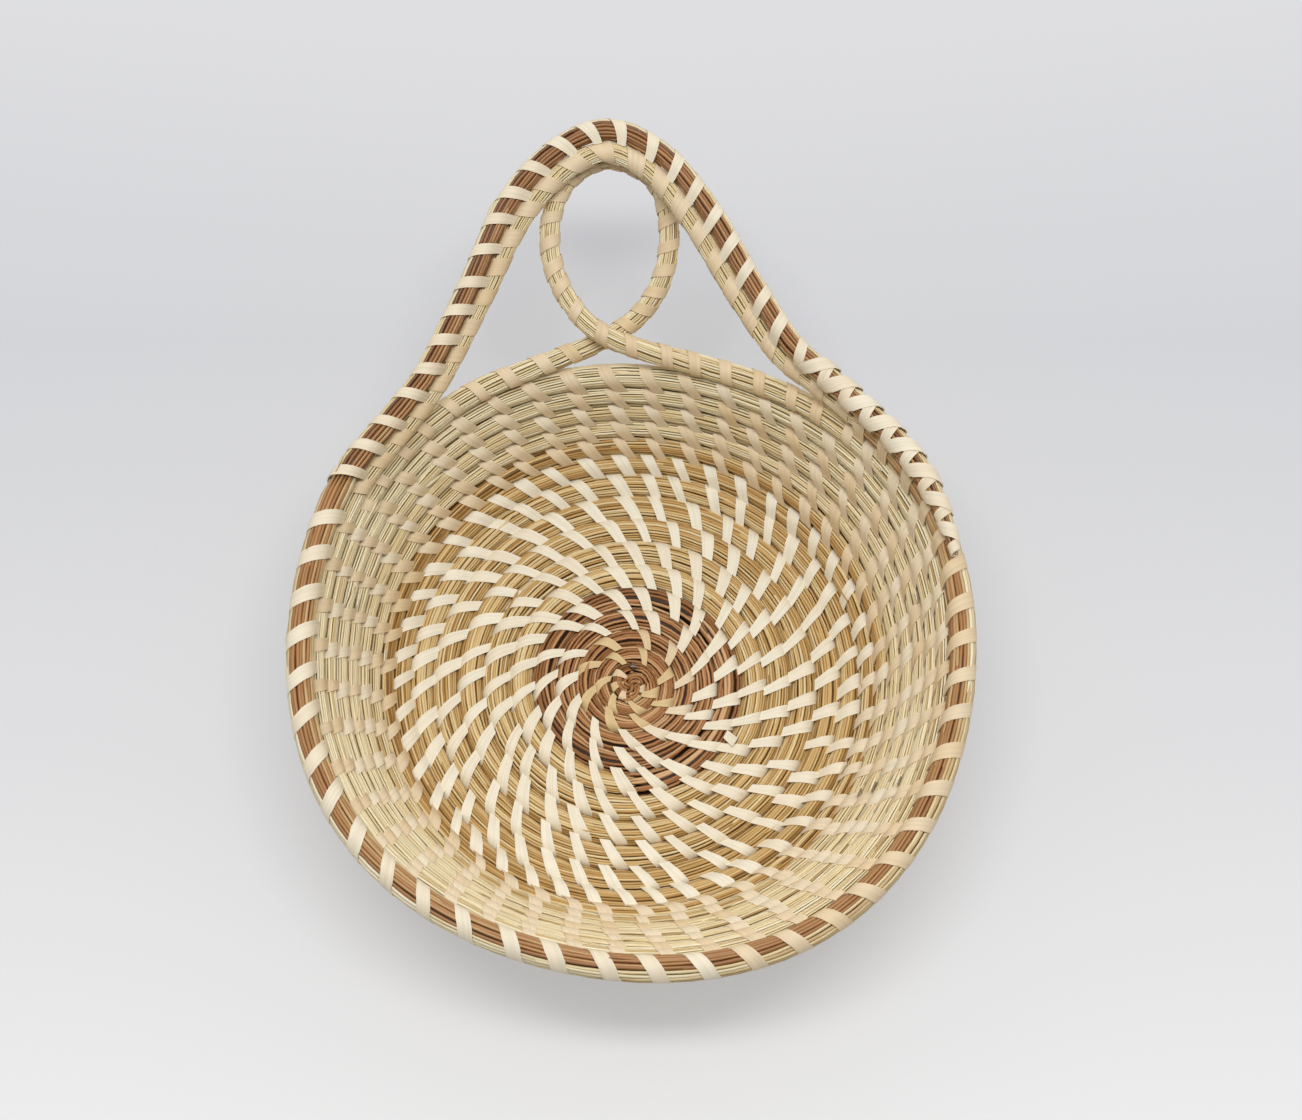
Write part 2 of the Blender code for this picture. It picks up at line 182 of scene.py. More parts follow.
@dataclass(frozen=True)
class StripFinish:
    """Palmetto leaf split into flat strips, matt, with fine veins along it.

    The mesh attribute "tone" goes from fresh cream over peach to aged straw.  The UV map
    runs across the strip and along it.
    """

    name: str
    colours: tuple[str, ...]
    veins: float = 9.0
    roughness: float = 0.6

    def material(self) -> bpy.types.Material:
        """Build the material and return it."""
        material = bpy.data.materials.new(self.name)
        material.use_nodes = True
        tree = material.node_tree
        shader = tree.nodes["Principled BSDF"]
        tone = add_node(tree, "ShaderNodeAttribute", {"attribute_name": "tone"})
        uv = add_node(tree, "ShaderNodeUVMap")
        lifted = add_node(tree, "ShaderNodeCombineXYZ", Z=tone.outputs["Fac"])
        moved = add_node(tree, "ShaderNodeVectorMath", {"operation": "MULTIPLY_ADD"},
                         input_0=lifted.outputs[0], input_1=(0.0, 0.0, 900.0),
                         input_2=uv.outputs["UV"])
        scaled = add_node(tree, "ShaderNodeMapping", Vector=moved.outputs[0],
                          Scale=(self.veins, 0.8, 1.0))
        veins = add_node(tree, "ShaderNodeTexNoise", Vector=scaled.outputs[0], Scale=1.0,
                         Detail=1.0)
        ramp = add_ramp(tree, tone.outputs["Fac"], self.colours)
        darker = add_node(tree, "ShaderNodeMapRange", Value=veins.outputs["Fac"],
                          From_Min=0.3, From_Max=0.6, To_Min=0.91, To_Max=1.01)
        tinted = add_node(tree, "ShaderNodeVectorMath", {"operation": "SCALE"},
                          input_0=ramp.outputs["Color"], Scale=darker.outputs[0])
        tree.links.new(tinted.outputs[0], shader.inputs["Base Color"])
        bump = add_node(tree, "ShaderNodeBump", Height=veins.outputs["Fac"], Strength=0.5,
                        Distance=0.12 * MM)
        tree.links.new(bump.outputs["Normal"], shader.inputs["Normal"])
        shader.inputs["Roughness"].default_value = self.roughness
        shader.inputs["IOR"].default_value = 1.45
        return material


# Ramps run from the dark between the blades, over the plant's usual tones, to pale blades. The
# dark low end is partly the darkest blades and partly painted shade, on the core that shows in the
# gaps between them
BLADE_FINISHES = {
    Plant.PINE: BladeFinish("dried_pine_needle",
                            ("#2E1B0E", "#80552F", "#A67347", "#C08E5E", "#D6AE80")),
    Plant.BULRUSH: BladeFinish("dried_bulrush",
                               ("#68491F", "#B38B4F", "#CBA568", "#DABB82", "#EAD6A8")),
    Plant.EDGE: BladeFinish("bulrush_mixed_with_needle",
                            ("#5C4020", "#B08446", "#CBA162", "#DCBF86", "#ECDCB2")),
    Plant.SWEETGRASS: BladeFinish("dried_sweetgrass",
                                  ("#8C7043", "#C8A974", "#E2CD9C", "#EDDCB3", "#F6ECCC")),
    Plant.STRIPED: BladeFinish("needle_over_sweetgrass",
                               ("#54331A", "#98683C", "#B58552", "#DEC792", "#F2E6C6"), 0.42, 0.5),
}
STRIP_FINISH = StripFinish("split_palmetto",
                           ("#F0E8D3", "#EBDFC6", "#E6D4B5", "#E0C8A2", "#D8BC84"))


def unit(vectors: np.ndarray) -> np.ndarray:
    """Return rows of directions, each scaled to length one."""
    return vectors / np.linalg.norm(vectors, axis=-1, keepdims=True)


def smooth_curve(rows: np.ndarray, steps: int = 24) -> np.ndarray:
    """Lay a smooth curve through rows of values.

    Args:
        rows: Values to pass through.  The first and last row only steer the ends.
        steps: Points from one row to the next.

    Returns:
        The points of the curve, from the second row to the last but one.
    """
    share = (np.arange(steps) / steps)[:, None]
    pieces = []
    for before, start, end, after in zip(rows, rows[1:], rows[2:], rows[3:]):
        pieces.append(0.5 * (2.0 * start + (end - before) * share
                             + (2.0 * before - 5.0 * start + 4.0 * end - after) * share ** 2
                             + (3.0 * start - before - 3.0 * end + after) * share ** 3))
    return np.vstack(pieces + [rows[-2:-1]])


@dataclass
class Route:
    """A stretch of the coil: its middle line and its section, at even steps.

    The section's face points into the bowl, and its side towards the next row out.  Shade
    makes blades paler or darker, and roll turns a striped bundle about its middle.
    """

    middle: np.ndarray
    face: np.ndarray
    radius: np.ndarray
    shade: np.ndarray | float = 0.0
    roll: np.ndarray | float = 0.0
    step: float = 1.0 * MM
    leave: float = math.radians(16.0)

    def __post_init__(self) -> None:
        """Bring the rows to even steps and work out the directions across the coil."""
        lengths = np.linalg.norm(np.diff(self.middle, axis=0), axis=1)
        self.travelled = np.concatenate(([0.0], np.cumsum(lengths)))
        self.length = float(self.travelled[-1])
        count = max(int(self.length / self.step), 4)
        self.step = self.length / count
        places = np.linspace(0.0, self.length, count + 1)
        plain = np.zeros(len(self.radius))
        rows = np.column_stack((self.middle, self.face, self.radius, plain + self.shade,
                                plain + self.roll))
        rows = np.stack([np.interp(places, self.travelled, column) for column in rows.T], 1)
        along = unit(np.gradient(rows[:, :3], axis=0))
        face = rows[:, 3:6]
        face = unit(face - along * np.sum(face * along, axis=1, keepdims=True))
        self.table = np.column_stack((rows[:, :3], face, np.cross(face, along), rows[:, 6:]))

    def rows_at(self, distance: np.ndarray) -> np.ndarray:
        """Return middle, face, side, radius, shade and roll at distances along the coil."""
        place = distance / self.step
        low = np.clip(np.floor(place).astype(int), 0, len(self.table) - 2)
        share = (place - low)[:, None]
        return self.table[low] * (1.0 - share) + self.table[low + 1] * share

    def lay(self, distance: np.ndarray, angle: np.ndarray, height: np.ndarray,
            bridges: bool = False) -> np.ndarray:
        """Find points on or near the coil's surface.

        Args:
            distance: How far along the coil.
            angle: Turn round the section, from its face towards its side.
            height: How far above the surface.
            bridges: Whether the surface runs straight on to the row before, on the face
                and on the back, as a strip does that is sewn to that row.

        Returns:
            The points, one row each.
        """
        rows = self.rows_at(distance)
        held = np.clip(angle, -self.leave, math.pi + self.leave) if bridges else angle
        past = (angle - held) * rows[:, 9]
        out = rows[:, 9] + height
        face_part = np.cos(held) * out - np.sin(held) * past
        side_part = np.sin(held) * out + np.cos(held) * past
        return rows[:, :3] + rows[:, 3:6] * face_part[:, None] + rows[:, 6:9] * side_part[:, None]

    def zenith(self, distance: np.ndarray) -> np.ndarray:
        """Return the turn round the section that points straight up, with the roll added."""
        rows = self.rows_at(distance)
        return np.arctan2(rows[:, 8], rows[:, 5]) + rows[:, 11]


@dataclass
class Sewing:
    """Where strips go round a stretch of the coil, and how they lie on it.

    A strip goes into its hole at the foot of the row, on the face.  It comes from the
    top of the row, further back along it, and from the hole before on the outside.
    """

    holes: np.ndarray
    widths: np.ndarray
    tones: np.ndarray
    shifts: np.ndarray
    back_shift: float = 4.5 * MM
    curl: float = 1.0
    crest: float = math.radians(60.0)
    bridges: bool = True
    upright: bool = False
    lift: float = 0.0
    rise: float = 0.0
    dips: tuple[float, float] = (0.75 * MM, 0.75 * MM)
    thickness: float = 0.30 * MM
    sink: float = 0.36 * MM
    pinch_reach: float = 2.6 * MM
    taper: float = 0.12
    first_angle: float = math.radians(259.0)
    last_angle: float = math.radians(-79.0)

    def offset(self, angle: np.ndarray, shift: np.ndarray) -> np.ndarray:
        """Return how far behind its hole a strip lies, at angles round the coil."""
        top = TURN / 4.0
        on_face = np.clip((angle - self.last_angle) / (self.crest - self.last_angle), 0.0, 1.0)
        on_back = np.clip((angle - top) / (self.first_angle - top), 0.0, 1.0)
        return shift * on_face ** self.curl + self.back_shift * on_back

    def crossings(self, angle: np.ndarray) -> np.ndarray:
        """Return where each strip crosses a blade that lies at these angles."""
        wrapped = (angle - self.last_angle) % TURN + self.last_angle
        found = np.sort(self.holes - self.offset(wrapped, self.shifts))
        step = np.mean(np.diff(found))
        return np.concatenate(([found[0] - step], found, [found[-1] + step]))

    def pinch(self, distance: np.ndarray, angle: np.ndarray) -> np.ndarray:
        """Return how deep strips press into the coil at places on it.

        Args:
            distance: How far along the coil.
            angle: Turn round the section.

        Returns:
            Depths below the plain surface.
        """
        if len(self.holes) < 2:
            return np.zeros_like(distance)
        wrapped = (angle - self.last_angle) % TURN + self.last_angle
        shift = np.interp(distance, self.holes, self.shifts)
        target = distance + self.offset(wrapped, shift)
        after = np.clip(np.searchsorted(self.holes, target), 1, len(self.holes) - 1)
        away = np.minimum(np.abs(target - self.holes[after]),
                          np.abs(target - self.holes[after - 1]))
        return self.sink * np.exp(-(away / self.pinch_reach) ** 2)


@dataclass
class CrossedSewing(Sewing):
    """Strips that cross the top of a coil aslant and go straight round the rest of it."""

    bridges: bool = False
    upright: bool = True
    taper: float = 0.0
    first_angle: float = math.radians(172.0)
    last_angle: float = math.radians(-188.0)
    reach: float = math.radians(80.0)

    def offset(self, angle: np.ndarray, shift: np.ndarray) -> np.ndarray:
        """Return how far behind its hole a strip lies, at angles from straight up."""
        share = np.clip((angle + self.reach) / (2.0 * self.reach), 0.0, 1.0)
        return shift * share


def no_sewing() -> Sewing:
    """Return sewing without any strip."""
    nothing = np.array([])
    return Sewing(nothing, nothing, nothing, nothing)


@dataclass(frozen=True)
class Blades:
    """How a bundle is made up of single blades.

    A stripe is a range of angles from straight up, outwards, in which the blades are
    brown needles instead.
    """

    count: int
    width: float
    tones: tuple[float, float] = (0.35, 1.0)
    streaks: float = 0.1
    shortest: float = 90.0 * MM
    longest: float = 190.0 * MM
    wander: float = 0.3
    loose_share: float = 0.06
    press: float = 0.0
    depth: float = 0.09 * MM
    spacing: float = 2.8 * MM
    full_radius: float = 3.0 * MM
    stripe: tuple[float, float] | None = None
    stripe_tones: tuple[float, float] = (0.18, 0.5)


def tube_mesh(splines: list[tuple[np.ndarray, np.ndarray, float]], sides: int) -> bpy.types.Mesh:
    """Sweep round tubes along splines, with the tone of each as a mesh attribute.

    Args:
        splines: For each tube its points, its radii and its tone.
        sides: Blender's bevel resolution, 0 for four sides, 1 for six.

    Returns:
        A mesh of closed tubes whose ends run to a point.
    """
    curve = bpy.data.curves.new("blades", "CURVE")
    curve.dimensions = "3D"
    curve.resolution_u = 1
    curve.bevel_depth = 1.0
    curve.bevel_resolution = sides
    for points, radii, _ in splines:
        spline = curve.splines.new("POLY")
        spline.points.add(len(points) - 1)
        spline.points.foreach_set("co", np.column_stack((points, np.ones(len(points)))).ravel())
        spline.points.foreach_set("radius", radii)
    holder = bpy.data.objects.new("blades", curve)
    bpy.context.scene.collection.objects.link(holder)
    depsgraph = bpy.context.evaluated_depsgraph_get()
    mesh = bpy.data.meshes.new_from_object(holder.evaluated_get(depsgraph))
    bpy.data.objects.remove(holder)
    bpy.data.curves.remove(curve)
    ring = 4 + 2 * sides
    counts = [len(points) * ring for points, _, _ in splines]
    if sum(counts) != len(mesh.vertices):
        raise ValueError(f"expected {sum(counts)} points and got {len(mesh.vertices)}")
    set_tones(mesh, np.repeat([tone for _, _, tone in splines], counts))
    return mesh


def set_tones(mesh: bpy.types.Mesh, tones: np.ndarray) -> None:
    """Store one tone for each point of a mesh."""
    mesh.attributes.new("tone", "FLOAT", "POINT").data.foreach_set("value", tones)


def strip_template(segments: int) -> bpy.types.Mesh:
    """Make a flat closed strip, one unit wide, long and thick, to be bent round a coil.

    Args:
        segments: Faces along the strip.

    Returns:
        The mesh.  X runs across the strip, Y along it and Z through it.
    """
    mesh = bmesh.new()
    mesh.loops.layers.uv.new("UVMap")
    bmesh.ops.create_grid(mesh, x_segments=1, y_segments=segments, size=0.5, calc_uvs=True)
    made = bmesh.ops.extrude_face_region(mesh, geom=mesh.faces[:], use_keep_orig=True)
    top = [item for item in made["geom"] if isinstance(item, bmesh.types.BMVert)]
    bmesh.ops.translate(mesh, verts=top, vec=(0.0, 0.0, 1.0))
    bmesh.ops.recalc_face_normals(mesh, faces=mesh.faces)
    data = bpy.data.meshes.new("strip")
    mesh.to_mesh(data)
    mesh.free()
    return data


def bent_strips(route: Route, sewing: Sewing, segments: int = 16,
                ground: float = 0.02 * MM) -> bpy.types.Mesh:
    """Bend one strip round the coil for every hole of its sewing.

    Args:
        route: The stretch of the coil.
        sewing: Where the strips go and how they lie.
        segments: Faces along a strip.
        ground: Least height of any point.

    Returns:
        One mesh with every strip as a closed shell.
    """
    template = strip_template(segments)
    count = len(template.vertices)
    flat = np.zeros(count * 3)
    template.vertices.foreach_get("co", flat)
    across, along, up = flat.reshape(-1, 3).T
    last = 0.5 - 1.0 / segments
    share = np.interp(along, (-0.5, -last, last, 0.5), (0.0, 0.012, 0.988, 1.0))
    dip = np.select((along < -0.499, along > 0.499), sewing.dips, 0.0)
    angle = sewing.first_angle + (sewing.last_angle - sewing.first_angle) * share
    across = across * (1.0 - sewing.taper * np.clip((share - 0.75) / 0.2, 0.0, 1.0))
    gathered = bmesh.new()
    places = []
    for hole, width, shift in zip(sewing.holes, sewing.widths, sewing.shifts):
        gathered.from_mesh(template)
        distance = hole - sewing.offset(angle, shift)
        nudge = 0.02
        rise = sewing.offset(angle + nudge, shift) - sewing.offset(angle - nudge, shift)
        slant = np.arctan2(rise / (2.0 * nudge), route.rows_at(distance)[:, 9])
        distance = distance + across * width * np.minimum(1.0 / np.cos(slant), 1.5)
        height = up * sewing.thickness - sewing.sink + 0.06 * MM + sewing.lift - dip
        height = height + sewing.rise * (1.0 - share) ** 2
        turned = angle + route.zenith(distance) if sewing.upright else angle
        places.append(route.lay(distance, turned, height, sewing.bridges))
    data = bpy.data.meshes.new("strips")
    gathered.to_mesh(data)
    gathered.free()
    bpy.data.meshes.remove(template)
    points = np.vstack(places)
    points[:, 2] = np.maximum(points[:, 2], ground)
    data.vertices.foreach_set("co", points.ravel())
    set_tones(data, np.repeat(sewing.tones, count))
    data.update()
    return data


@dataclass(frozen=True)
class Bowl:
    """The spiral that the rows follow, from the knot in the base up to the rim."""

    knot_radius: float = 3.3 * MM
    knot_gap: float = 0.4 * MM
    start_turn: float = -0.25
    width_turns: tuple[float, ...] = (0.0, 5.0, 9.0, 11.0)
    widths: tuple[float, ...] = (4.12 * MM, 7.77 * MM, 7.77 * MM, 7.12 * MM)
    last_turn: float = 19.0
    flat_radius: float = 58.2 * MM
    bend_radius: float = 23.0 * MM
    bend_angle: float = math.radians(56.4)
    wall_radius: float = 124.0 * MM
    wall_angle: float = math.radians(63.9)
    rim_turn: float = 17.0
    lean: tuple[float, float] = (1.4 * MM, -3.3 * MM)
    squareness: float = 1.45 * MM
    square_angle: float = math.radians(-10.3)
    ovalness: float = 1.2 * MM
    oval_angle: float = math.radians(20.0)
    coil_share: float = 0.483
    seat_cut: float = 0.5 * MM
    fullness: float = 0.51
    rim_radius: float = 4.1 * MM

    def edge_distance(self, turn: np.ndarray) -> np.ndarray:
        """Return how far the rows' inner edges are from the middle, along the bowl."""
        turns = np.linspace(0.0, self.last_turn, 1901)
        widths = np.interp(turns, self.width_turns, self.widths)
        steps = (widths[1:] + widths[:-1]) / 2.0 * np.diff(turns)
        grown = np.interp(turn, turns, np.concatenate(([0.0], np.cumsum(steps))))
        first = self.knot_radius + self.knot_gap
        return first + self.widths[0] * (np.minimum(turn, 0.0) - self.start_turn) + grown

    def row_width(self, turn: np.ndarray) -> np.ndarray:
        """Return the widths of the rows whose inner edges are at these turns."""
        return self.edge_distance(turn + 1.0) - self.edge_distance(turn)

    def section(self, distance: np.ndarray) -> tuple[np.ndarray, np.ndarray, np.ndarray]:
        """Return radius, height and slope of the bowl at distances from its middle."""
        past_flat = distance - self.flat_radius
        bend = np.clip(past_flat / self.bend_radius, 0.0, self.bend_angle)
        past_bend = past_flat - self.bend_radius * self.bend_angle
        wall = np.clip(past_bend / self.wall_radius, 0.0, self.wall_angle - self.bend_angle)
        past_wall = past_bend - self.wall_radius * (self.wall_angle - self.bend_angle)
        straight = np.clip(past_wall, 0.0, None)
        slope = bend + wall
        start = self.bend_angle
        radius = (np.minimum(distance, self.flat_radius) + self.bend_radius * np.sin(bend)
                  + self.wall_radius * (np.sin(start + wall) - math.sin(start))
                  + straight * np.cos(slope))
        height = (self.bend_radius * (1.0 - np.cos(bend))
                  + self.wall_radius * (math.cos(start) - np.cos(start + wall))
                  + straight * np.sin(slope))
        return radius, height, slope

    def lines(self, turn: np.ndarray, distance: np.ndarray) -> tuple[np.ndarray, np.ndarray]:
        """Return middles and face directions of coils at turns and distances."""
        angle = -TURN * turn
        across, height, slope = self.section(distance)
        rim_rise = self.section(self.edge_distance(np.array([self.rim_turn])))[1][0]
        rise = height / rim_rise
        across = across - rise * self.squareness * np.cos(4.0 * (angle - self.square_angle))
        across = across - rise * self.ovalness * np.cos(2.0 * (angle - self.oval_angle))
        seat_turn = np.minimum(turn, self.width_turns[2] - 1.0)
        seat = self.coil_share * self.row_width(seat_turn) - self.seat_cut
        outward = np.stack((np.cos(angle), np.sin(angle), np.zeros_like(angle)), 1)
        upward = np.array((0.0, 0.0, 1.0))
        lean = np.array((*self.lean, 0.0)) * rise[:, None]
        middle = outward * across[:, None] + upward * (height + seat)[:, None] + lean
        face = upward * np.cos(slope)[:, None] - outward * np.sin(slope)[:, None]
        return middle, face

    def rows(self, turn: np.ndarray) -> np.ndarray:
        """Return middles, faces and radii of the ordinary rows at turns, side by side."""
        width = self.row_width(turn)
        middle, face = self.lines(turn, self.edge_distance(turn) + width / 2.0)
        return np.column_stack((middle, face, self.fullness * width))

    def rim(self, turn: np.ndarray, start: float) -> np.ndarray:
        """Return the same for the rim, which thickens from its start to its full turn."""
        radius = np.interp(turn, (start, self.rim_turn), (self.thin_radius(), self.rim_radius))
        distance = self.edge_distance(turn) + radius / self.coil_share / 2.0
        middle, face = self.lines(turn, distance)
        return np.column_stack((middle, face, radius))

    def thin_radius(self) -> float:
        """Return the radius of the wall's coil."""
        return self.coil_share * self.widths[-1]


@dataclass(frozen=True)
class Joins:
    """Turns at which the coil changes its plant or its job."""

    pine_end: float = 4.25
    bulrush_end: float = 10.0
    edge_end: float = 11.0
    wall_end: float = 15.0 + 14.0 / 24.0
    loop_leave: float = 15.0 + 16.0 / 24.0
    loop_return: float = 15.0 + 19.0 / 24.0
    loop_row_end: float = 15.0 + 21.0 / 24.0
    handle_leave: float = 16.0 + 14.0 / 24.0
    rim_start: float = 16.0 + 21.0 / 24.0
    rim_end: float = 17.0 + 14.0 / 24.0
    tail_start: float = 17.0 + 21.0 / 24.0
    tail_taper: float = 17.0 + 22.0 / 24.0
    tail_end: float = 17.0 + 23.0 / 24.0
    steer: float = 1.0 / 24.0
    overlap: float = 0.008


BOWL = Bowl()
JOINS = Joins()

# Some rows are made of paler blades than others
SHADE_TURNS = (4.3, 5.2, 5.6, 8.9, 9.2, 9.9, 11.0, 12.5, 14.0)
SHADES = (0.22, 0.15, 0.0, 0.0, -0.14, -0.06, -0.08, -0.05, 0.06)


class Workshop:
    """Finishes, random draws and the craft that all parts of the basket share."""

    def __init__(self, seed: int = 7) -> None:
        """Set up the finishes, the random draws and the holes of the sewing."""
        self.random = np.random.default_rng(seed)
        self.blade_materials = {plant: finish.material()
                                for plant, finish in BLADE_FINISHES.items()}
        self.strip_material = STRIP_FINISH.material()
        self.holes = self.hole_turns()

    @staticmethod
    def hole_turns() -> np.ndarray:
        """Return the turns of every hole of the sewing, from the knot to the rim."""
        row_turns = (0.5, 1.5, 2.5, 3.5, 4.5, 5.5, 6.5, 7.5, 8.5, 9.5, 10.5)
        counts = (6.5, 8.5, 12.5, 17.5, 23.5, 27.5, 30.5, 33.0, 40.0, 45.5, 46.08)
        turns = np.linspace(-0.2, 18.2, 18401)
        steps = np.interp(turns, row_turns, counts)[1:] * np.diff(turns)
        passed = np.concatenate(([0.0], np.cumsum(steps)))
        phase = np.interp(13.029, turns, passed) % 1.0
        return np.interp(np.arange(1.0, passed[-1] - 1.0) + phase, passed, turns)

    def blade(self, route: Route, sewing: Sewing, blades: Blades, base_angle: float,
              start: float, end: float) -> tuple[np.ndarray, np.ndarray, float]:
        """Lay one blade along the coil.

        Args:
            route: The stretch of the coil.
            sewing: The strips that pinch it.
            blades: How the bundle is made up.
            base_angle: Where round the section the blade lies.
            start: Where along the route it begins.
            end: Where it ends.

        Returns:
            Its points, its radii and its tone.
        """
        draw = self.random.uniform
        places = self.blade_places(route, sewing, blades, base_angle, start, end)
        between = TURN / blades.count
        wave = np.sin(TURN * (places / draw(0.05, 0.12) + draw(0.0, 1.0)))
        angle = base_angle + between * (blades.wander * wave * draw(0.3, 1.0) + draw(-0.15, 0.15))
        tone = draw(*blades.tones) if draw(0.0, 1.0) > blades.streaks else draw(0.15, 0.35)
        tone = tone + route.rows_at(places)[len(places) // 2, 10]
        if blades.stripe is not None:
            low, high = blades.stripe
            if (base_angle - low) % TURN < high - low:
                tone = draw(*blades.stripe_tones)
            angle = angle + route.zenith(places)
        sag = blades.depth * (1.0 + np.sin(TURN * (places / draw(0.03, 0.08) + draw(0.0, 1.0))))
        ends = np.clip(np.minimum(places - start, end - places) / (1.5 * blades.spacing),
                       0.0, 1.0)
        thin = np.clip(route.rows_at(places)[:, 9] / blades.full_radius, 0.5, 1.0)
        radius = blades.width / 2.0 * draw(0.78, 1.14) * thin
        height = -radius - sag - sewing.pinch(places, angle) - (1.0 - ends) * 0.5 * MM
        height = height + blades.press * np.sin(angle) ** 4
        if draw(0.0, 1.0) < blades.loose_share:
            sprung = np.clip((places - end) / (5.0 * blades.spacing) + 1.0, 0.0, 1.0)
            height = height + sprung ** 2 * draw(0.8, 1.8) * MM
            angle = angle + sprung ** 2 * draw(-0.5, 0.5)
        points = route.lay(places, angle, height)
        points[:, 2] = np.maximum(points[:, 2], radius)
        radii = radius * np.sqrt(ends)
        radii[0] = radii[-1] = 0.0
        return points, radii, tone

    @staticmethod
    def blade_places(route: Route, sewing: Sewing, blades: Blades, base_angle: float,
                     start: float, end: float) -> np.ndarray:
        """Find where along the coil a blade needs points.

        Args:
            route: The stretch of the coil.
            sewing: The strips that pinch it.
            blades: How the bundle is made up.
            base_angle: Where round the section the blade lies.
            start: Where along the route it begins.
            end: Where it ends.

        Returns:
            Even steps, or where there are strips, steps from one to the next.
        """
        if len(sewing.holes) < 2:
            return np.linspace(start, end, max(int((end - start) / blades.spacing), 4))
        angle = np.full(len(sewing.holes), base_angle)
        if blades.stripe is not None:
            angle = angle + route.zenith(sewing.holes)
        crossings = sewing.crossings(angle)
        steps = np.diff(crossings)[:, None] * (0.0, 0.22, 0.5, 0.78)
        places = (crossings[:-1, None] + steps).ravel()
        clear = 0.4 * MM
        inside = places[(places > start + clear) & (places < end - clear)]
        return np.concatenate(([start], inside, [end]))

    def bundle(self, route: Route, sewing: Sewing, blades: Blades) -> list[bpy.types.Mesh]:
        """Build the blades of a stretch and the dark core between them, which is painted shade in
        the gaps.

        Args:
            route: The stretch of the coil.
            sewing: The strips that pinch it.
            blades: How the bundle is made up.

        Returns:
            The meshes of blades and of the painted-shade core.
        """
        splines = []
        for index in range(blades.count):
            base_angle = TURN * index / blades.count
            reached = -self.random.uniform(0.0, blades.longest)
            while reached < route.length:
                length = self.random.uniform(blades.shortest, blades.longest)
                start, end = max(reached, 0.0), min(reached + length, route.length)
                reached += length - 3.0 * blades.spacing
                if end - start > 4.0 * blades.spacing:
                    splines.append(self.blade(route, sewing, blades, base_angle, start, end))
        places = np.arange(0.0, route.length, blades.spacing)
        rows = route.rows_at(places)
        shade_core_inset = 0.5 * blades.width + 0.32 * MM
        radii = np.clip(rows[:, 9] - shade_core_inset, 0.5 * MM, rows[:, 2] - 0.1 * MM)
        radii[0] = radii[-1] = 0.0
        # The core takes tone 0.0, the dark low end of the ramp: painted shade in the gaps between
        # the blades.
        return [tube_mesh(splines, 0), tube_mesh([(rows[:, :3], radii, 0.0)], 2)]

    def strip_tones(self, count: int, span: tuple[float, float]) -> np.ndarray:
        """Return tones of strips: one long strip makes several stitches of one tone.

        Args:
            count: How many stitches.
            span: Least and greatest tone of a strip.

        Returns:
            A tone for each stitch.
        """
        tones: list[float] = []
        while len(tones) < count:
            base = self.random.uniform(*span)
            tones += [base + self.random.uniform(-0.05, 0.05)
                      for _ in range(self.random.integers(4, 10))]
        return np.array(tones[:count])

    def row_stretch(self, start: float, end: float,
                    tones: tuple[float, float]) -> tuple[Route, Sewing]:
        """Return the route and the sewing of ordinary rows between two turns.

        Args:
            start: Turn at which the stretch starts.
            end: Turn at which it ends.
            tones: Least and greatest tone of the strips.

        Returns:
            The route, a little longer than the stretch, and the sewing.
        """
        turns = np.linspace(start - JOINS.overlap, end + JOINS.overlap,
                            max(int((end - start) * 360.0), 24))
        rows = BOWL.rows(turns)
        route = Route(rows[:, :3], rows[:, 3:6], rows[:, 6],
                      shade=np.interp(turns, SHADE_TURNS, SHADES))
        holes = self.holes[(self.holes >= start) & (self.holes < end)]
        loose = np.interp(holes, (1.0, 3.0, 9.0, 11.0), (0.6, 1.3, 1.3, 0.6))
        places = np.interp(holes, turns, route.travelled)
        places = np.sort(places + loose * self.random.uniform(-1.0, 1.0, len(holes)) * MM)
        widths = np.interp(holes, (0.0, 2.0, 4.0, 9.0, 11.0), (2.6, 3.1, 3.6, 3.8, 3.9)) * MM
        widths = widths * self.random.uniform(0.8, 1.12, len(holes))
        shifts = np.interp(holes, (0.0, 2.0, 3.5, 9.0, 11.0), (3.0, 4.8, 5.6, 5.6, 4.8)) * MM
        swing = np.interp(holes, (9.5, 12.5), (-0.22, 0.28))
        shifts = shifts * (1.0 + swing * np.cos(TURN * (holes + 0.03)))
        shifts = shifts * self.random.uniform(0.86, 1.14, len(holes))
        aged = np.clip((2.4 - holes) / 0.7, 0.0, 1.0)
        strip_tones = self.strip_tones(len(holes), tones) * (1.0 - aged) + 0.93 * aged
        return route, Sewing(places, widths, strip_tones, shifts)

    def even_sewing(self, route: Route, spacing: float | np.ndarray, width: float,
                    tones: tuple[float, float], shift: float, loose: float = 0.06,
                    **lay: float | bool) -> Sewing:
        """Return sewing at even steps along a whole route.

        Args:
            route: The stretch of the coil.
            spacing: How far apart the strips are, or that for each point of the route.
            width: Their width.
            tones: Least and greatest tone of the strips.
            shift: How far they run back from foot to top.
            loose: How uneven the steps are, as a share of them.
            **lay: Other ways in which they lie.

        Returns:
            The sewing.
        """
        steps = np.diff(route.travelled) / (spacing + np.zeros(len(route.travelled)))[1:]
        passed = np.concatenate(([0.0], np.cumsum(steps)))
        count = int(passed[-1])
        places = (np.arange(count) + 0.5) * passed[-1] / count
        places = places + self.random.uniform(-loose, loose, count)
        places = np.interp(places, passed, route.travelled)
        widths = width * self.random.uniform(0.92, 1.08, count)
        return Sewing(places, widths, self.strip_tones(count, tones), np.full(count, shift),
                      **lay)

    def wound(self, spacing: float) -> dict[str, float | bool]:
        """Return how strips lie that are wound round a free coil without being sewn."""
        return {"shift": spacing / 2.0, "back_shift": spacing / 2.0, "crest": TURN / 4.0,
                "bridges": False, "first_angle": 0.76 * TURN, "last_angle": -0.26 * TURN,
                "sink": 0.26 * MM}

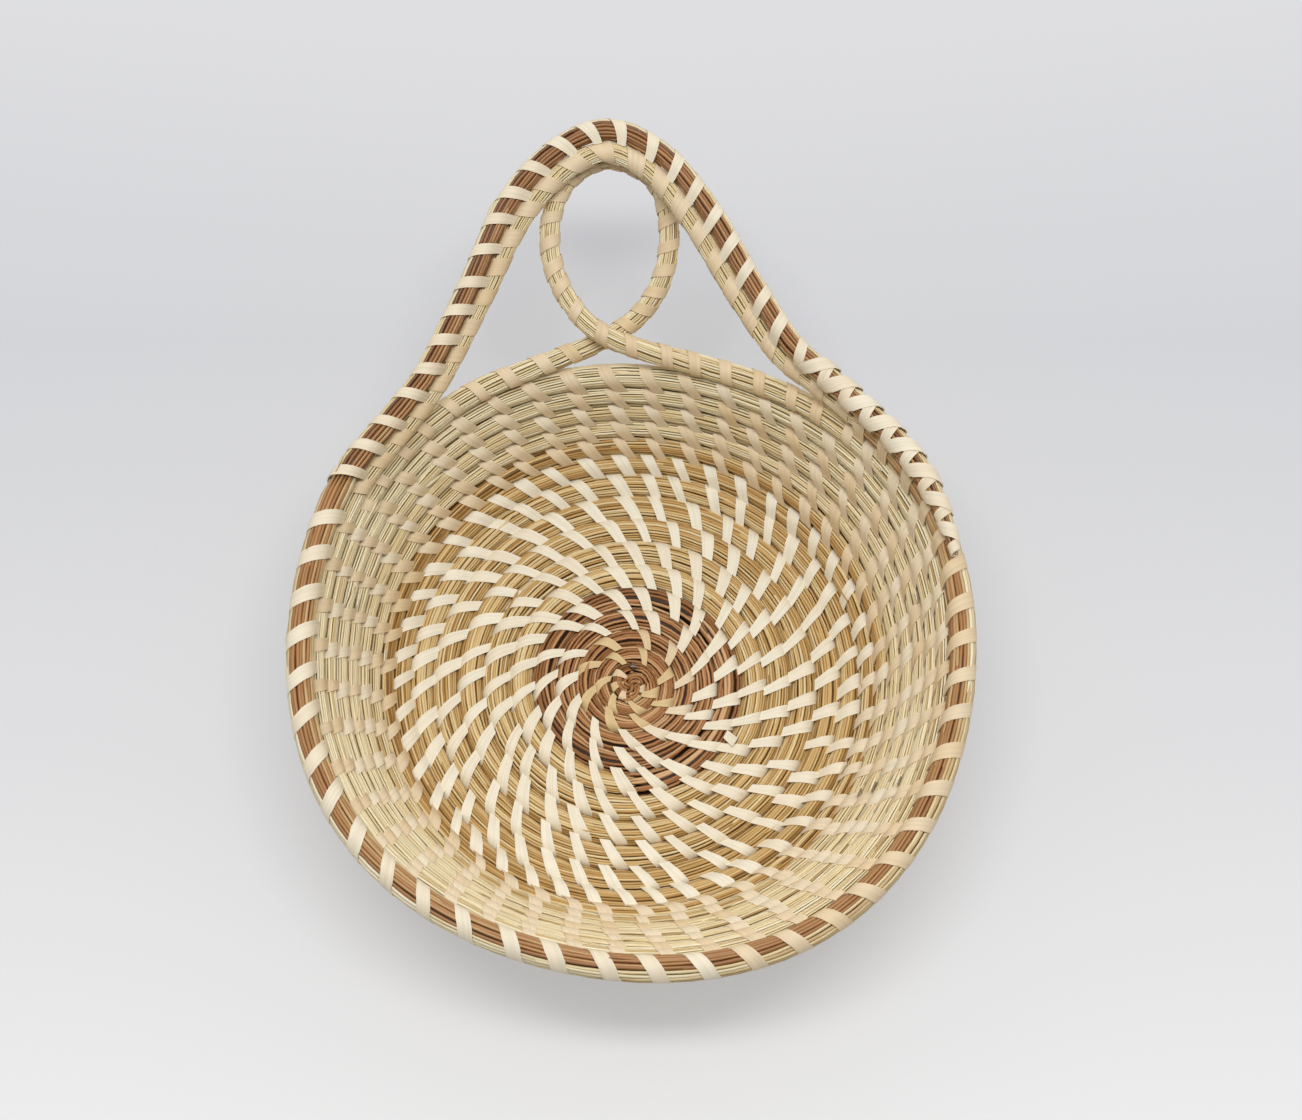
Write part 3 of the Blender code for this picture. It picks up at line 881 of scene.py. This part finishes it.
    def finish(self, name: str, meshes: list[bpy.types.Mesh], plant: Plant | None, slot: str,
               nodes: tuple[str, ...] = ()) -> bpy.types.Object:
        """Join meshes into one finished piece of the basket.

        Args:
            name: Name of the piece.
            meshes: Its meshes.
            plant: The plant of its blades, or nothing for palmetto strips.
            slot: The record's slot that its finish belongs to; not used.
            nodes: CAD nodes that it stands for.

        Returns:
            The piece, riding on the basket.
        """
        joined = bmesh.new()
        for mesh in meshes:
            joined.from_mesh(mesh)
            bpy.data.meshes.remove(mesh)
        bmesh.ops.remove_doubles(joined, verts=joined.verts, dist=0.0005 * MM)
        data = bpy.data.meshes.new(name)
        joined.to_mesh(data)
        joined.free()
        data.materials.append(self.blade_materials[plant] if plant else self.strip_material)
        data.shade_smooth()
        if plant is None:
            data.set_sharp_from_angle(angle=math.radians(40.0))
        piece = bpy.data.objects.new(name, data)
        bpy.context.scene.collection.objects.link(piece)
        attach(piece, "root")
        if nodes:
            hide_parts(*nodes)
        LOG.info("%s: %d faces", name, len(data.polygons))
        return piece


@dataclass(frozen=True)
class Knot:
    """Needles twisted into a knot in the middle of the base."""

    reach: float = 1.8 * MM
    swing: float = 1.3 * MM
    strands: int = 4
    strand: float = 0.9 * MM
    apart: float = 1.3 * MM
    middle_height: float = 2.9 * MM
    rise: float = 1.0 * MM
    shade_core_radius: float = 2.6 * MM
    turns: tuple[float, ...] = (-1.7, -1.25, -1.0, -0.75, -0.5, -0.25, -0.23)
    distances: tuple[float, ...] = (1.3 * MM, 2.6 * MM, 3.4 * MM, 4.1 * MM, 4.75 * MM,
                                    5.76 * MM, 5.84 * MM)
    radii: tuple[float, ...] = (1.0 * MM, 1.3 * MM, 1.5 * MM, 1.8 * MM, 2.1 * MM, 2.15 * MM,
                                2.15 * MM)
    hole_turns: tuple[float, ...] = (-1.06, -0.9, -0.76, -0.62, -0.48, -0.35)
    strip_width: float = 2.2 * MM
    strip_shift: float = 1.6 * MM

    def first_turns(self) -> tuple[Route, Sewing]:
        """Return the coil and its sewing from inside the knot to the first sewn row."""
        turns = np.linspace(self.turns[0], self.turns[-1], 80)
        distance = np.interp(turns, self.turns, self.distances)
        radius = np.interp(turns, self.turns, self.radii)
        angle = -TURN * turns
        middle = np.column_stack((distance * np.cos(angle), distance * np.sin(angle),
                                  radius + 0.05 * MM))
        route = Route(middle, np.tile((0.0, 0.0, 1.0), (len(turns), 1)), radius)
        count = len(self.hole_turns)
        sewing = Sewing(np.interp(self.hole_turns, turns, route.travelled),
                        np.full(count, self.strip_width), np.tile((0.93, 0.72), count // 2),
                        np.full(count, self.strip_shift), back_shift=0.0)
        return route, sewing

    def build(self, shop: Workshop) -> None:
        """Build the knot."""
        round_share = np.linspace(0.0, 1.0, 61) * TURN
        needles = Blades(9, 0.98 * MM, (0.06, 0.62), shortest=12.0 * MM, longest=26.0 * MM,
                         wander=1.0, press=0.55 * MM, spacing=1.2 * MM,
                         full_radius=1.9 * MM)
        route, sewing = self.first_turns()
        meshes = shop.bundle(route, no_sewing(), needles)
        splines = []
        for place in (np.arange(self.strands) - (self.strands - 1.0) / 2.0) * self.apart:
            start = shop.random.uniform(-0.25, 0.25)
            across = self.reach + place + self.swing * np.cos(3.0 * round_share + start)
            height = self.middle_height + self.rise * np.sin(3.0 * round_share + start)
            points = np.column_stack((across * np.cos(2.0 * round_share),
                                      across * np.sin(2.0 * round_share), height))
            radii = np.full(len(points), self.strand / 2.0) * shop.random.uniform(0.85, 1.1)
            radii[0] = radii[-1] = 0.0
            splines.append((points, radii, shop.random.uniform(0.1, 0.6)))
        # A flattened ball of tone 0, the dark low end of the pine ramp, fills the middle of the
        # knot: painted shade of the knot's hollow.
        core = bmesh.new()
        bmesh.ops.create_icosphere(core, subdivisions=2, radius=self.shade_core_radius)
        bmesh.ops.scale(core, verts=core.verts, vec=(1.0, 1.0, 0.55))
        bmesh.ops.translate(core, verts=core.verts, vec=(0.0, 0.0, 0.56 * self.shade_core_radius))
        data = bpy.data.meshes.new("knot_shade_core")
        core.to_mesh(data)
        core.free()
        set_tones(data, np.zeros(len(data.vertices)))
        shop.finish("knot_needles", meshes + [tube_mesh(splines, 1), data], Plant.PINE,
                    "pine_needle", ("center_knot",))
        shop.finish("knot_strips", [bent_strips(route, sewing)], None, "sweetgrass")


@dataclass(frozen=True)
class Rows:
    """A stretch of rows of one plant, sewn to the rows below them."""

    name: str
    start: float
    end: float
    plant: Plant
    slot: str
    node: str
    blades: Blades
    tones: tuple[float, float]

    def build(self, shop: Workshop) -> bpy.types.Mesh:
        """Build the bundle as a piece of its own and return the mesh of its strips."""
        route, sewing = shop.row_stretch(self.start, self.end, self.tones)
        shop.finish(self.name, shop.bundle(route, sewing, self.blades), self.plant, self.slot,
                    (self.node,))
        return bent_strips(route, sewing)


@dataclass(frozen=True)
class Base:
    """Flat base and the turn up into the wall."""

    rows: tuple[Rows, ...] = (
        Rows("pine_needle_bundle", BOWL.start_turn, JOINS.pine_end, Plant.PINE, "pine_needle",
             "pine_needle_coil",
             Blades(15, 1.15 * MM, (0.12, 0.95), 0.15, wander=0.6, loose_share=0.25,
                    press=0.4 * MM), (0.0, 0.25)),
        Rows("bulrush_bundle", JOINS.pine_end, JOINS.bulrush_end, Plant.BULRUSH, "bulrush",
             "bulrush_coil", Blades(25, 0.88 * MM, (0.36, 0.98), 0.14, press=0.34 * MM),
             (0.0, 0.25)),
        Rows("base_edge_bundle", JOINS.bulrush_end, JOINS.edge_end, Plant.EDGE,
             "bulrush_and_pine", "base_edge_coil",
             Blades(25, 0.86 * MM, (0.36, 1.0), 0.18, press=0.34 * MM), (0.2, 0.8)),
    )

    def build(self, shop: Workshop) -> None:
        """Build the base."""
        strips = [rows.build(shop) for rows in self.rows]
        shop.finish("base_strips", strips, None, "sweetgrass")


@dataclass(frozen=True)
class Wall:
    """Rows of sweetgrass from the base up to the rim."""

    blades: Blades = Blades(25, 0.77 * MM, (0.46, 0.98), 0.06, press=0.26 * MM)
    tones: tuple[float, float] = (0.3, 0.78)

    def build(self, shop: Workshop) -> None:
        """Build the wall."""
        stretches = (
            Rows("wall_bundle", JOINS.edge_end, JOINS.wall_end, Plant.SWEETGRASS,
                 "sweetgrass", "wall_coil", self.blades, self.tones),
            Rows("top_row_bundle", JOINS.loop_row_end, JOINS.handle_leave, Plant.SWEETGRASS,
                 "sweetgrass", "top_row_coil", self.blades, self.tones),
        )
        strips = [rows.build(shop) for rows in stretches]
        shop.finish("wall_strips", strips, None, "sweetgrass")


@dataclass(frozen=True)
class Handle:
    """Two coils that arch over the loop, and the tail in which the outer one ends.

    The outline gives shares of the way between the feet, of the reach and of the lift,
    and the direction from the inner coil to the outer one, in degrees above level.
    """

    reach: float = 95.7 * MM
    lift: float = 21.1 * MM
    outer_radius: float = 3.5 * MM
    inner_radius: float = 3.2 * MM
    thinning_share: float = 0.14
    tail_stack: float = 85.0
    tail_end_radius: float = 1.4 * MM
    touch_gap: float = 0.4 * MM
    spacing: float = 9.9 * MM
    lash_start: float = 24.0 * MM
    lash_count: int = 8
    lash_end: float = 17.945
    outline_shares: tuple[tuple[float, ...], ...] = (
        (0.104, 0.215, 0.05, 64.0),
        (0.158, 0.336, 0.12, 60.0),
        (0.233, 0.576, 0.38, 51.0),
        (0.301, 0.804, 0.69, 37.0),
        (0.391, 0.950, 0.91, 23.0),
        (0.497, 1.000, 1.00, 16.0),
        (0.604, 0.905, 0.91, 18.0),
        (0.694, 0.718, 0.69, 26.0),
        (0.783, 0.455, 0.38, 41.0),
        (0.850, 0.269, 0.18, 58.0),
        (0.909, 0.163, 0.07, 74.0),
    )

    def tail(self, turn: np.ndarray) -> np.ndarray:
        """Return middles, faces and radii of the tail, which lies on the rim's start."""
        rows = BOWL.rim(turn - 1.0, JOINS.rim_start)
        own = np.interp(turn, (JOINS.tail_taper, JOINS.tail_end),
                        (self.outer_radius, self.tail_end_radius))
        outward = unit(rows[:, :3] * (1.0, 1.0, 0.0))
        angle = math.radians(self.tail_stack)
        stack = outward * math.cos(angle) + np.array((0.0, 0.0, math.sin(angle)))
        middle = rows[:, :3] + stack * (rows[:, 6] + own + self.touch_gap)[:, None]
        return np.column_stack((middle, rows[:, 3:6], own))

    def coils(self) -> tuple[np.ndarray, np.ndarray]:
        """Return middles, faces and radii of the outer coil and of the inner coil."""
        feet = np.array((JOINS.rim_end - JOINS.steer, JOINS.rim_end))
        rows = [(*row[:3], math.degrees(BOWL.wall_angle))
                for row in BOWL.rim(feet, JOINS.rim_start)]
        ends = self.tail(np.array((JOINS.tail_start, JOINS.tail_start + JOINS.steer)))
        first, last = np.array(rows[1][:3]), ends[0, :3]
        for way, reach, lift, degrees in self.outline_shares:
            place = first + (last - first) * way
            rows.append((place[0], place[1] + self.reach * reach, place[2] + self.lift * lift,
                         degrees))
        rows += [(*row[:3], self.tail_stack) for row in ends]
        curve = smooth_curve(np.array(rows))
        outer = curve[:, :3]
        lengths = np.linalg.norm(np.diff(outer, axis=0), axis=1)
        share = np.concatenate(([0.0], np.cumsum(lengths))) / lengths.sum()
        along = unit(np.gradient(outer, axis=0))
        level = unit(np.cross((0.0, 0.0, 1.0), along))
        angle = np.radians(curve[:, 3:4])
        stack = level * np.cos(angle) + np.array((0.0, 0.0, 1.0)) * np.sin(angle)
        face = np.cross(along, stack)
        edges = (0.0, self.thinning_share, 1.0 - self.thinning_share, 1.0)
        thick = np.interp(share, edges[:2], (BOWL.rim_radius, self.outer_radius))
        thin = np.interp(share, edges, (BOWL.thin_radius(), self.inner_radius,
                                        self.inner_radius, BOWL.thin_radius()))
        inner = outer - stack * (thick + thin)[:, None]
        return np.column_stack((outer, face, thick)), np.column_stack((inner, face, thin))

    def inner_top(self) -> np.ndarray:
        """Return the highest place on the middle line of the inner coil."""
        inner = self.coils()[1]
        return inner[np.argmax(inner[:, 2]), :3]

    def build(self, shop: Workshop) -> None:
        """Build both coils, the tail and its lashing."""
        outer_rows, inner_rows = self.coils()
        inner = Route(inner_rows[:, :3], inner_rows[:, 3:6], inner_rows[:, 6] * 1.02)
        wraps = shop.even_sewing(inner, self.spacing, 5.2 * MM, (0.6, 0.78),
                                 **shop.wound(self.spacing))
        shop.finish("handle_inner_bundle",
                    shop.bundle(inner, wraps, Blades(24, 0.7 * MM, (0.46, 0.98), 0.06)),
                    Plant.SWEETGRASS, "sweetgrass", ("handle_inner_coil",))
        strips = [bent_strips(inner, wraps)]

        outer = Route(outer_rows[:, :3], outer_rows[:, 3:6], outer_rows[:, 6] * 1.02)
        needles = Blades(16, 1.16 * MM, (0.62, 1.0), 0.0,
                         stripe=(math.radians(-100.0), math.radians(33.0)),
                         stripe_tones=(0.1, 0.55))
        wraps = shop.even_sewing(outer, self.spacing, 3.5 * MM, (0.22, 0.45), 4.4 * MM,
                                 back_shift=4.0 * MM, curl=1.25, crest=TURN / 4.0)
        shop.finish("handle_outer_bundle", shop.bundle(outer, wraps, needles), Plant.STRIPED,
                    "pine_and_sweetgrass", ("handle_outer_coil",))
        free = wraps.holes < outer.length - self.lash_start
        strips.append(bent_strips(outer, Sewing(wraps.holes[free], wraps.widths[free],
                                                wraps.tones[free], wraps.shifts[free],
                                                wraps.back_shift, wraps.curl, wraps.crest)))
        shop.finish("handle_strips", strips, None, "sweetgrass")
        self.build_tail(shop, outer_rows, needles)

    def build_tail(self, shop: Workshop, outer_rows: np.ndarray, needles: Blades) -> None:
        """Build the tail and the crossed strips that lash it to the rim.

        Args:
            shop: The workshop.
            outer_rows: Middles, faces and radii of the handle's outer coil.
            needles: How the outer coil is made up.
        """
        turns = np.linspace(JOINS.tail_start - JOINS.overlap, JOINS.tail_end, 90)
        rows = self.tail(turns)
        route = Route(rows[:, :3], rows[:, 3:6], rows[:, 6])
        shop.finish("tail_bundle", shop.bundle(route, no_sewing(), needles), Plant.STRIPED,
                    "pine_and_sweetgrass", ("rim_tail",))
        turns = np.linspace(JOINS.tail_start, JOINS.tail_end, 90)[1:]
        whole = np.vstack((outer_rows[len(outer_rows) // 2:], self.tail(turns)))
        whole_route = Route(whole[:, :3], whole[:, 3:6], whole[:, 6] * 1.03)
        tail_length = np.interp(self.lash_end, turns, np.linspace(0.0, 1.0, len(turns)))
        before_tail = whole_route.travelled[-len(turns) - 1]
        first = before_tail - self.lash_start
        last = before_tail + (whole_route.length - before_tail) * tail_length
        share = np.linspace(0.0, 1.0, self.lash_count)
        places = first + (last - first) * (0.88 * share + 0.12 * share ** 2)
        tones = shop.random.uniform(0.2, 0.4, self.lash_count)
        widths = 4.2 * MM * shop.random.uniform(0.94, 1.05, self.lash_count)
        slant = whole_route.rows_at(places)[:, 9] / self.outer_radius
        over = CrossedSewing(places, widths, tones, -7.0 * MM * slant, lift=0.62 * MM)
        under = CrossedSewing(places + 7.8 * MM, widths * 0.78, tones + 0.05,
                              2.6 * MM * slant, lift=0.3 * MM)
        shop.finish("tail_lashing", [bent_strips(whole_route, under),
                                     bent_strips(whole_route, over)], None, "sweetgrass")


HANDLE = Handle()


@dataclass(frozen=True)
class Loop:
    """The small loop at the back, flat in a plane that leans out under the arch."""

    radius: float = 3.2 * MM
    half_width: float = 18.4 * MM
    crossing_out: float = 12.3 * MM
    crossing_up: float = 4.3 * MM
    crossing_share: float = 0.547
    tuck: float = 0.6 * MM
    under_gap: float = 1.8 * MM
    slope: float = math.radians(16.0)
    touch_gap: float = 0.4 * MM
    spacing: float = 7.2 * MM
    outer_spacing: float = 10.4 * MM
    outline_shares: tuple[tuple[float, float], ...] = (
        (0.00, 0.00), (0.78, 0.24), (1.02, 0.56), (0.80, 0.87), (0.00, 1.00),
        (-0.72, 0.86), (-0.97, 0.58), (-0.76, 0.27), (0.00, 0.00))

    def route(self) -> Route:
        """Return the route from the row it leaves, round the loop, to the row it joins."""
        over = JOINS.overlap
        leave_rows = BOWL.rows(np.linspace(JOINS.wall_end - over, JOINS.loop_leave, 24))
        back_rows = BOWL.rows(np.linspace(JOINS.loop_return, JOINS.loop_row_end + over, 24))
        slope_up = np.array((0.0, -math.sin(self.slope), math.cos(self.slope)))
        start, end = leave_rows[-1, :3], back_rows[0, :3]
        crossing = start + (end - start) * self.crossing_share
        crossing = crossing + (0.0, self.crossing_out, self.crossing_up)
        below = HANDLE.inner_radius + self.radius + self.under_gap
        rise = HANDLE.inner_top() - slope_up * below - (0.0, self.tuck, 0.0) - crossing
        height = np.linalg.norm(rise)
        ahead = rise / height
        across = unit(np.cross(ahead, slope_up))
        normal = unit(np.cross(across, ahead))
        rows = list(BOWL.rows(np.array((JOINS.loop_leave - JOINS.steer, JOINS.loop_leave))))
        last = len(self.outline_shares) - 1
        for index, (x_share, y_share) in enumerate(self.outline_shares):
            stacked = (self.radius + self.touch_gap) * (2.0 * index / last - 1.0)
            place = crossing + across * (x_share * self.half_width)
            place = place + ahead * (y_share * height) + normal * stacked
            rows.append(np.concatenate((place, normal, (self.radius,))))
        rows += list(BOWL.rows(np.array((JOINS.loop_return, JOINS.loop_return + JOINS.steer))))
        curve = smooth_curve(np.array(rows))
        whole = np.vstack((leave_rows[:-1], curve, back_rows[1:]))
        return Route(whole[:, :3], whole[:, 3:6], whole[:, 6])

    def build(self, shop: Workshop) -> None:
        """Build the loop with its wraps."""
        route = self.route()
        away = np.abs(route.travelled - route.length / 2.0)
        spacing = np.interp(away, (56.0 * MM, 70.0 * MM), (self.spacing, self.outer_spacing))
        wraps = shop.even_sewing(route, spacing, 3.6 * MM, (0.35, 0.85), loose=0.1,
                                 **shop.wound(self.spacing))
        grass = Blades(24, 0.7 * MM, (0.46, 0.98), 0.06)
        shop.finish("loop_bundle", shop.bundle(route, wraps, grass),
                    Plant.SWEETGRASS, "sweetgrass", ("loop_coil",))
        shop.finish("loop_strips", [bent_strips(route, wraps)], None, "sweetgrass")


@dataclass(frozen=True)
class Rim:
    """The thicker last row, with a stripe of needles along its top."""

    width: float = 4.4 * MM
    turns: tuple[float, ...] = (17.0, 17.12, 17.25, 17.4, 17.5, 17.58)
    spacings: tuple[float, ...] = (11.5 * MM, 12.7 * MM, 13.9 * MM, 13.4 * MM, 12.4 * MM,
                                   12.0 * MM)
    shifts: tuple[float, ...] = (3.6 * MM, 5.2 * MM, 6.5 * MM, 7.0 * MM, 6.0 * MM, 5.0 * MM)
    stripe_edges: tuple[float, ...] = (20.0, 16.0, 36.0, 60.0, 60.0, 50.0)
    stripe_width: float = 120.0
    stripe_tones: tuple[float, float] = (0.25, 0.6)

    def build(self, shop: Workshop) -> None:
        """Build the rim with its wraps."""
        turns = np.linspace(JOINS.rim_start - JOINS.overlap, JOINS.rim_end + JOINS.overlap, 260)
        rows = BOWL.rim(turns, JOINS.rim_start)
        edge = np.radians(np.interp(turns, self.turns, self.stripe_edges))
        route = Route(rows[:, :3], rows[:, 3:6], rows[:, 6], roll=edge)
        steps = np.interp(turns, self.turns, self.spacings)
        passed = np.concatenate(([0.0], np.cumsum(np.diff(route.travelled) / steps[1:])))
        count = int(passed[-1])
        places = np.interp(np.arange(count) + 0.5, passed, route.travelled)
        places = places + shop.random.uniform(-0.5, 0.5, count) * MM
        widths = self.width * shop.random.uniform(0.92, 1.08, count)
        hole_turns = np.interp(places, route.travelled, turns)
        tones = np.where(hole_turns < 17.22, 0.68, 0.3) + shop.random.uniform(-0.08, 0.08, count)
        shifts = np.interp(hole_turns, self.turns, self.shifts)
        wraps = Sewing(places, widths, tones, shifts, back_shift=4.4 * MM, curl=1.25,
                       crest=TURN / 4.0)
        needles = Blades(20, 1.3 * MM, (0.62, 1.0), 0.0,
                         stripe=(-math.radians(self.stripe_width), 0.0),
                         stripe_tones=self.stripe_tones)
        shop.finish("rim_bundle", shop.bundle(route, wraps, needles), Plant.STRIPED,
                    "pine_and_sweetgrass", ("rim_coil",))
        shop.finish("rim_strips", [bent_strips(route, wraps)], None, "sweetgrass")


@dataclass(frozen=True)
class CutEnds:
    """Ends of palmetto strips that stand out of a seam, cut short where a new strip starts."""

    turns: tuple[float, ...] = (5.101, 10.076, 11.522, 12.09, 13.086, 14.539, 14.975, 15.082)
    width: float = 3.2 * MM
    free_angle: float = math.radians(-12.0)
    rise: float = 1.1 * MM

    def build(self, shop: Workshop) -> None:
        """Build the ends."""
        turns = np.linspace(self.turns[0] - 0.1, self.turns[-1] + 0.1, 3600)
        rows = BOWL.rows(turns)
        route = Route(rows[:, :3], rows[:, 3:6], rows[:, 6])
        count = len(self.turns)
        sewing = Sewing(np.interp(self.turns, turns, route.travelled),
                        self.width * shop.random.uniform(0.85, 1.15, count),
                        shop.random.uniform(0.0, 0.3, count),
                        shop.random.uniform(-4.0, 5.0, count) * MM, lift=0.25 * MM,
                        rise=self.rise, dips=(0.0, 0.75 * MM), taper=0.0,
                        first_angle=self.free_angle)
        shop.finish("cut_strip_ends", [bent_strips(route, sewing)], None, "sweetgrass")


@dataclass(frozen=True)
class Studio:
    """Pale table, soft light from above and the camera of the photograph."""

    table_size: float = 8.0
    # Colours of the table from front to back, paler at the front and a little at the back: painted
    # light.
    table_painted_light_colours: tuple[str, ...] = ("#EBEBEB", "#DCDCDE", "#D0D1D4", "#DDDDE0")
    table_glow: float = 0.44
    lens: float = 85.0
    sensor: float = 36.0
    camera_place: tuple[float, float, float] = (0.0063, -0.3151, 0.9036)
    camera_tilt: float = math.radians(21.62)
    front_light: float = 0.14
    back_light: float = 0.9
    key_place: tuple[float, float, float] = (0.0, -0.04, 1.3)
    key_size: tuple[float, float] = (1.0, 0.2)
    key_power: float = 10.0
    plain_light: float = 1.05

    def build(self) -> None:
        """Add the table, the lamps and the camera."""
        self.add_table()
        self.add_light()
        camera = bpy.data.cameras.new("camera")
        camera.lens = self.lens
        camera.sensor_width = self.sensor
        camera.sensor_fit = "HORIZONTAL"
        holder = bpy.data.objects.new("camera", camera)
        holder.location = self.camera_place
        holder.rotation_euler = (self.camera_tilt, 0.0, 0.0)
        bpy.context.scene.collection.objects.link(holder)
        bpy.context.scene.camera = holder
        bpy.context.scene.view_settings.view_transform = "Standard"

    def add_table(self) -> None:
        """Add the pale table top that the basket lies on. Its colour is paler towards the front
        and a little towards the back than in the middle: painted light on plain paper.
        """
        mesh = bmesh.new()
        bmesh.ops.create_grid(mesh, x_segments=1, y_segments=1, size=self.table_size / 2.0)
        data = bpy.data.meshes.new("table_top")
        mesh.to_mesh(data)
        mesh.free()
        material = bpy.data.materials.new("matt_paper")
        material.use_nodes = True
        tree = material.node_tree
        shader = tree.nodes["Principled BSDF"]
        place = add_node(tree, "ShaderNodeTexCoord")
        split = add_node(tree, "ShaderNodeSeparateXYZ", Vector=place.outputs["Object"])
        depth = add_node(tree, "ShaderNodeMapRange", Value=split.outputs["Y"],
                         From_Min=-0.16, From_Max=0.26)
        ramp = add_ramp(tree, depth.outputs[0], self.table_painted_light_colours)
        tree.links.new(ramp.outputs["Color"], shader.inputs["Base Color"])
        shader.inputs["Roughness"].default_value = 0.9
        shader.inputs["Specular IOR Level"].default_value = 0.1
        ray = add_node(tree, "ShaderNodeLightPath")
        seen = add_node(tree, "ShaderNodeMath", {"operation": "ADD"},
                        input_0=ray.outputs["Is Camera Ray"],
                        input_1=ray.outputs["Is Glossy Ray"])
        seen = add_node(tree, "ShaderNodeMath", {"operation": "ADD"},
                        input_0=seen.outputs[0], input_1=ray.outputs["Is Transmission Ray"])
        share = add_node(tree, "ShaderNodeMath", {"operation": "MULTIPLY"},
                         input_0=seen.outputs[0], input_1=self.table_glow)
        glow = add_node(tree, "ShaderNodeEmission", Color=ramp.outputs["Color"],
                        Strength=self.plain_light)
        mixed = add_node(tree, "ShaderNodeMixShader", Fac=share.outputs[0],
                         input_1=shader.outputs["BSDF"], input_2=glow.outputs[0])
        surface = tree.nodes["Material Output"].inputs["Surface"]
        tree.links.new(mixed.outputs[0], surface)
        data.materials.append(material)
        table = bpy.data.objects.new("table_top", data)
        bpy.context.scene.collection.objects.link(table)

    def add_light(self) -> None:
        """Add the plain light of the room, lighter at its back, and a lamp overhead."""
        world = bpy.data.worlds.new("room")
        world.use_nodes = True
        tree = world.node_tree
        background = tree.nodes["Background"]
        background.inputs["Color"].default_value = (1.0, 1.0, 1.0, 1.0)
        place = add_node(tree, "ShaderNodeTexCoord")
        split = add_node(tree, "ShaderNodeSeparateXYZ", Vector=place.outputs["Generated"])
        strength = add_node(tree, "ShaderNodeMapRange", Value=split.outputs["Y"],
                            From_Min=-1.0, From_Max=1.0, To_Min=self.front_light,
                            To_Max=self.back_light)
        tree.links.new(strength.outputs[0], background.inputs["Strength"])
        bpy.context.scene.world = world
        lamp = bpy.data.lights.new("key", "AREA")
        lamp.shape = "RECTANGLE"
        lamp.size, lamp.size_y = self.key_size
        lamp.energy = self.key_power
        holder = bpy.data.objects.new("key", lamp)
        holder.location = self.key_place
        direction = -np.array(self.key_place)
        holder.rotation_euler = (math.atan2(math.hypot(*direction[:2]), -direction[2]), 0.0,
                                 math.atan2(direction[1], direction[0]) - TURN / 4.0)
        bpy.context.scene.collection.objects.link(holder)


def main() -> None:
    """Build the basket and its surroundings."""
    logging.basicConfig(level=logging.INFO, format="%(message)s")
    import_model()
    shop = Workshop()
    for part in (Knot(), Base(), Wall(), Loop(), HANDLE, Rim(), CutEnds()):
        part.build(shop)
    Studio().build()


if __name__ == "__main__":
    main()
